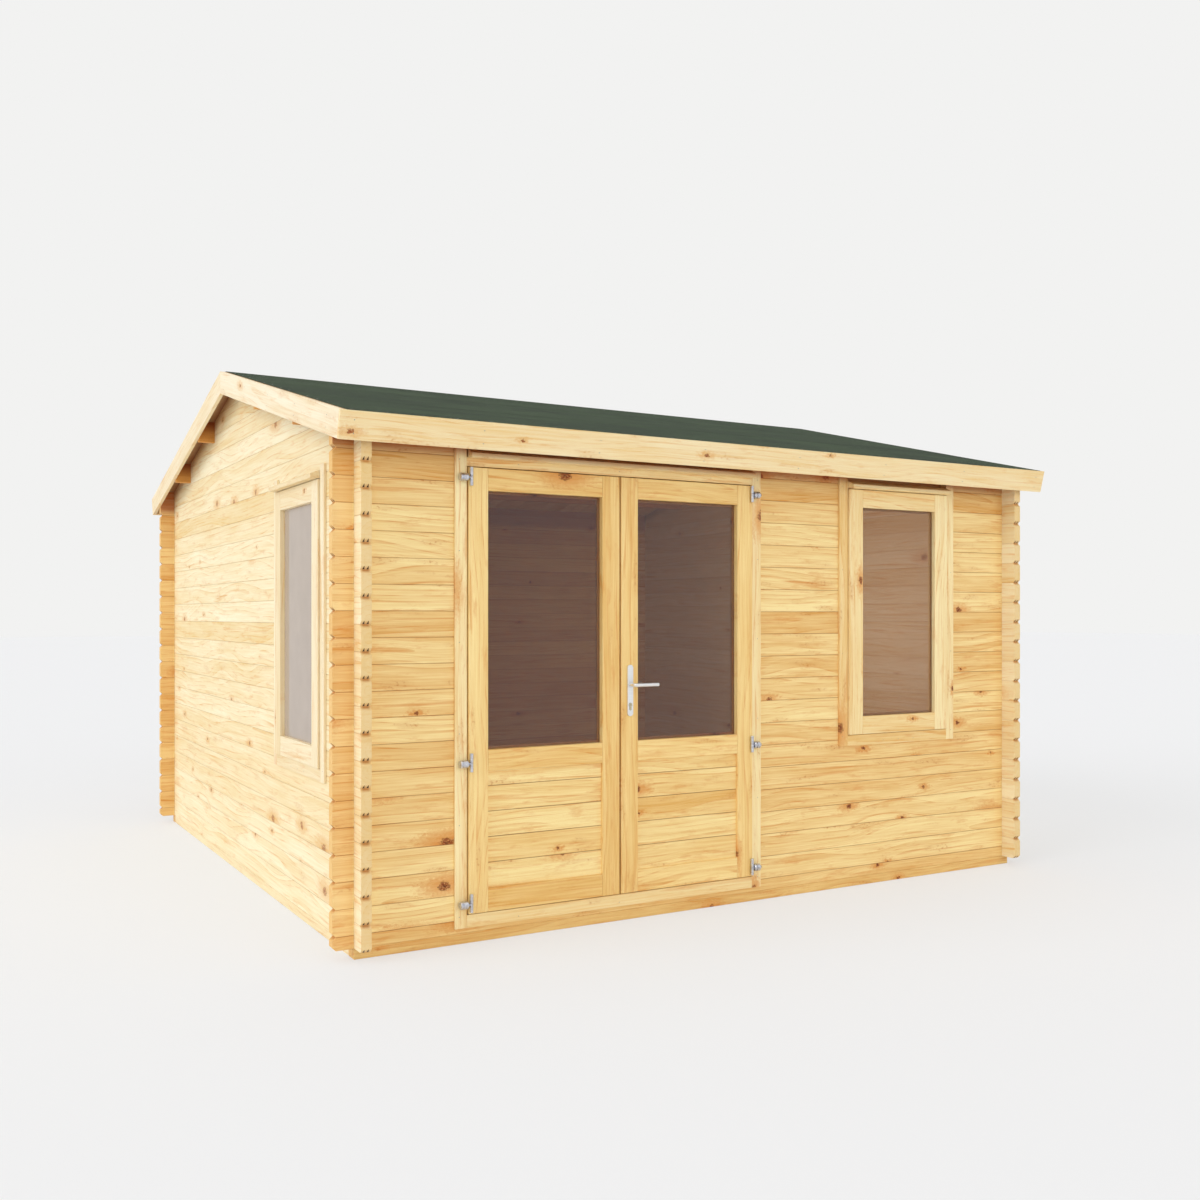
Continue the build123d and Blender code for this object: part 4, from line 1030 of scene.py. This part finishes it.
# a round barrel of 17 mm over a keel of 10 mm; its seat and the keyway in its face are dark bodies, painted
# shade
key_round, keel_half = 0.0083, 0.0049
key_z = lock_high.z - 0.0085
key_parts, slot_parts = [], []
for face_y, out_way in ((lock_low.y, -1), (lock_high.y, 1)):
    depth = abs(face_y - (lock_low.y + lock_high.y) / 2)
    middle = face_y - out_way * depth / 2
    key_parts.append(turned_rod(key_round, depth, (handle_x, middle, key_z), "y", 0.0006, 40))
    y0, y1 = sorted((face_y - out_way * 0.0002, face_y - out_way * depth))
    key_parts.append(rounded_plate(handle_x, 2 * keel_half, lock_low.z, key_z, y0, y1, 0.0005))
    y0, y1 = sorted((face_y - out_way * 0.0019, face_y - out_way * 0.0060))
    slot_parts.append(rounded_plate(handle_x, 0.0118, lock_low.z - 0.0010, key_z, y0, y1, 0.0002))
    slot_parts.append(turned_rod(0.0094, y1 - y0, (handle_x, (y0 + y1) / 2, key_z), "y", 0.0002, 40))
    y0, y1 = sorted((face_y + out_way * 0.00003, face_y - out_way * 0.0010))
    slot_parts.append(rounded_plate(handle_x, 0.0016, key_z - 0.0058, key_z + 0.0042, y0, y1, 0.0001))
assembled("key_cylinder", key_parts, brass, "right_door", ("lock_cylinder",))
assembled("key_slot", slot_parts, shadow, "right_door", ("lock_cylinder",))


def bent_lever(start_y, grip_y):
    """A round bar that comes out of the plate, bends and runs along the door."""
    out_way = 1 if grip_y > start_y else -1
    bend = 0.012
    bpy.ops.object.select_all(action="DESELECT")
    bpy.ops.mesh.primitive_circle_add(vertices=32, radius=lever_radius - 0.0002, fill_type="NGON",
                                      location=(handle_x, start_y, lever_z), rotation=(math.pi / 2, 0, 0))
    bar = bpy.context.object
    bpy.ops.object.transform_apply(location=True, rotation=True, scale=True)
    bpy.ops.object.mode_set(mode="EDIT")
    bpy.ops.mesh.select_all(action="SELECT")
    bpy.ops.mesh.extrude_region_move(
        TRANSFORM_OT_translate={"value": (0, grip_y - start_y - out_way * bend, 0)})
    bpy.ops.mesh.spin(steps=10, angle=math.pi / 2, axis=(0, 0, out_way),
                      center=(handle_x + bend, grip_y - out_way * bend, lever_z))
    bpy.ops.mesh.extrude_region_move(
        TRANSFORM_OT_translate={"value": (levers_high.x - handle_x - bend, 0, 0)})
    bpy.ops.mesh.region_to_loop()
    bpy.ops.mesh.bevel(offset=0.0022, segments=4, affect="EDGES")
    bpy.ops.mesh.select_all(action="SELECT")
    bpy.ops.mesh.remove_doubles(threshold=0.00001)
    bpy.ops.mesh.normals_make_consistent(inside=False)
    bpy.ops.object.mode_set(mode="OBJECT")
    return bar


# the levers turn on a square bar of 8 mm that runs through the leaf
square = 0.004
levers = [bent_lever(plates_low.y - 0.001, levers_low.y + lever_radius),
          bent_lever(plates_high.y + 0.001, levers_high.y - lever_radius),
          timber((handle_x - square, plates_low.y - square, lever_z - square),
                 (handle_x + square, plates_high.y + square, lever_z + square), 1, 0.0005)]
assembled("lever_handles", levers, satin, "door_handle", ("door_levers",))
finish("window_catches", satin)

# ---- Nails ------------------------------------------------------------------------------
# Galvanised round-headed nails in the casings, fascias, barge boards and floor, and
# broad clout nails along the edges and the laps of the felt.

# hot-dipped zinc: dull grey with a spangle of 1.4 mm
zinc, tree, out = new_material("galvanised nails")
place = put(tree, "TexCoord").outputs["Object"]
spangle = put(tree, "TexVoronoi", {"Vector": place, "Scale": 700.0})
colour = put(tree, "Mix", {0: put(tree, "MapRange", spangle.outputs["Distance"], 0.0, 0.7),
                           6: linear("#C6C4BE"), 7: linear("#8E8C88")}, data_type="RGBA")
rough = put(tree, "MapRange", spangle.outputs["Distance"], 0.0, 0.8, 0.38, 0.55)
shader = put(tree, "BsdfPrincipled", {"Base Color": colour, "Metallic": 1.0, "Roughness": rough})
tree.links.new(shader.outputs[0], out.inputs["Surface"])


def nails(radius, places, axis, sides=12):
    """Nail heads with their middles at the places, modelled once and copied."""
    first = turned_rod(radius, 0.0006, places[0], axis, 0.0002, sides)
    return [first] + [copied(first, Vector(p) - Vector(places[0])) for p in places[1:]]


nail_in, nail_step, end_in, corner_in = 0.020, 0.40, 0.05, 0.30
casing_nails = []
for side, node, opening in (("front", "door_frame", both),
                            ("front", "front_window_frame", sash_boxes["front"]),
                            ("left", "left_window_frame", sash_boxes["left"])):
    low, high = flat_box(node, side)
    tall = high.z - low.z
    steps = max(2, round(tall / nail_step))
    places = []
    for x in (low.x + nail_in, high.x - nail_in):
        places += [(x, -casing_thick, low.z + end_in + k * (tall - 2 * end_in) / steps)
                   for k in range(steps + 1)]
    for x in (low.x + corner_in, (low.x + high.x) / 2, high.x - corner_in):
        places += [(x, -casing_thick, low.z + nail_in), (x, -casing_thick, opening[1].z + 0.026)]
    casing_nails += [moved(n, on_wall(side)) for n in nails(0.0018, places, "y")]
assembled("casing_nails", casing_nails, zinc, "cabin")

trim_nails, clouts = [], []
clout_count = 27
clout_step = (felt_high.x - felt_low.x - 2 * nail_in) / (clout_count - 1)
for side in (-1, 1):
    flat = [(-1.96 + 0.56 * k, -slope_run, z) for k in range(8) for z in (-0.018, -0.072)]
    parts = nails(0.0022, flat, "y")
    for x in (trim_low.x + 0.0005, trim_high.x - 0.0005):
        flat = [(x, -y, z) for y in (0.10, 0.56, 1.02, 1.48, 1.96) for z in (-0.020, -0.070)]
        parts += nails(0.0022, flat, "x")
    trim_nails += [moved(p, down_slope(side)) for p in parts]
    flat = []
    for index in range(clout_count):
        x = felt_low.x + nail_in + index * clout_step
        flat += [(x, -(felt_run - nail_in), 0.0206), (x, -1.38, 0.0206), (x, -0.66, 0.0210),
                 (x, -0.13, 0.0218)]
    for x in (felt_low.x + nail_in, felt_high.x - nail_in):
        flat += [(x, -0.30 - 0.15 * k, 0.0215 if k < 3 else 0.0211 if k < 7 else 0.0207) for k in range(11)]
    clouts += [moved(p, down_slope(side)) for p in nails(0.0045, flat, "z", 10)]
assembled("trim_nails", trim_nails, zinc, "cabin")
assembled("felt_nails", clouts, zinc, "cabin")
floor_places = [(base_low.x + bearer_wide + joist_step * k, floor_low.y + (n + 0.5) * board_pitch,
                 floor_high.z) for k in range(1, joist_count + 1) for n in range(board_count)]
assembled("floor_nails", nails(0.0016, floor_places, "z", 8), zinc, "cabin")

# ---- Panes ----------------------------------------------------------------------------
# Clear 4 mm float glass in the doors and the windows, set in the leaves and
# sashes against beads.
rebate, pane_thick, pane_play = 0.008, 0.0038, 0.0001


def glass_material(name, tint, veil, haze, index):
    """Clear glass: what is behind shows through a tint, with a mirror that grows at a glance."""
    material, tree, out = new_material(name)
    place = put(tree, "TexCoord").outputs["Object"]
    ripple = put(tree, "TexNoise", {"Vector": place, "Scale": 1.6, "Detail": 1.0})
    dust_and_reflection = put(tree, "TexNoise", {"Vector": place, "Scale": 7.0, "Detail": 4.0})
    bump = put(tree, "Bump", {"Height": ripple, "Strength": 0.02, "Distance": 0.002})
    clear = put(tree, "BsdfTransparent", {"Color": linear(tint)})
    mirror = put(tree, "BsdfGlossy", {"Roughness": 0.02, "Normal": bump})
    film = put(tree, "BsdfDiffuse", {"Color": linear(veil)})
    # a diffuse veil: dust on the door and front panes, and on the left pane mostly a painted reflection
    veiled = put(tree, "MixShader", put(tree, "MapRange", dust_and_reflection, 0.2, 0.8, haze * 0.94, haze * 1.06), clear,
                 film)
    facing = put(tree, "Fresnel", {"IOR": index})
    mixed = put(tree, "MixShader", facing, veiled, mirror)
    tree.links.new(mixed.outputs[0], out.inputs["Surface"])
    return material


# float glass: what is inside shows through, greyed by dust, with the pale room mirrored at a glance;
# the left pane is seen almost edge on, and its pale veil, mostly a painted reflection of the room, hides most
# of what is behind it
door_pane = glass_material("door glass", "#E8DCD4", "#A8A6AC", 0.07, 1.36)
finish("left_door_glass", door_pane)
finish("right_door_glass", door_pane)
window_panes = {"front": glass_material("window glass, front", "#E4D8D0", "#C0A088", 0.08, 1.33),
                "left": glass_material("window glass, left", "#E0DCDC", "#EBD8C6", 0.56, 1.6)}
for side, material in window_panes.items():
    low, high = sash_boxes[side]
    edge = rail - rebate
    y = low.y + pane_back - pane_play
    pane = timber((low.x + edge, y - pane_thick, low.z + edge), (high.x - edge, y, high.z - edge), 2,
                  0.0004)
    assembled(f"{side}_window_pane", [pane], material, "cabin", ("window_glass",),
              on_wall(side))
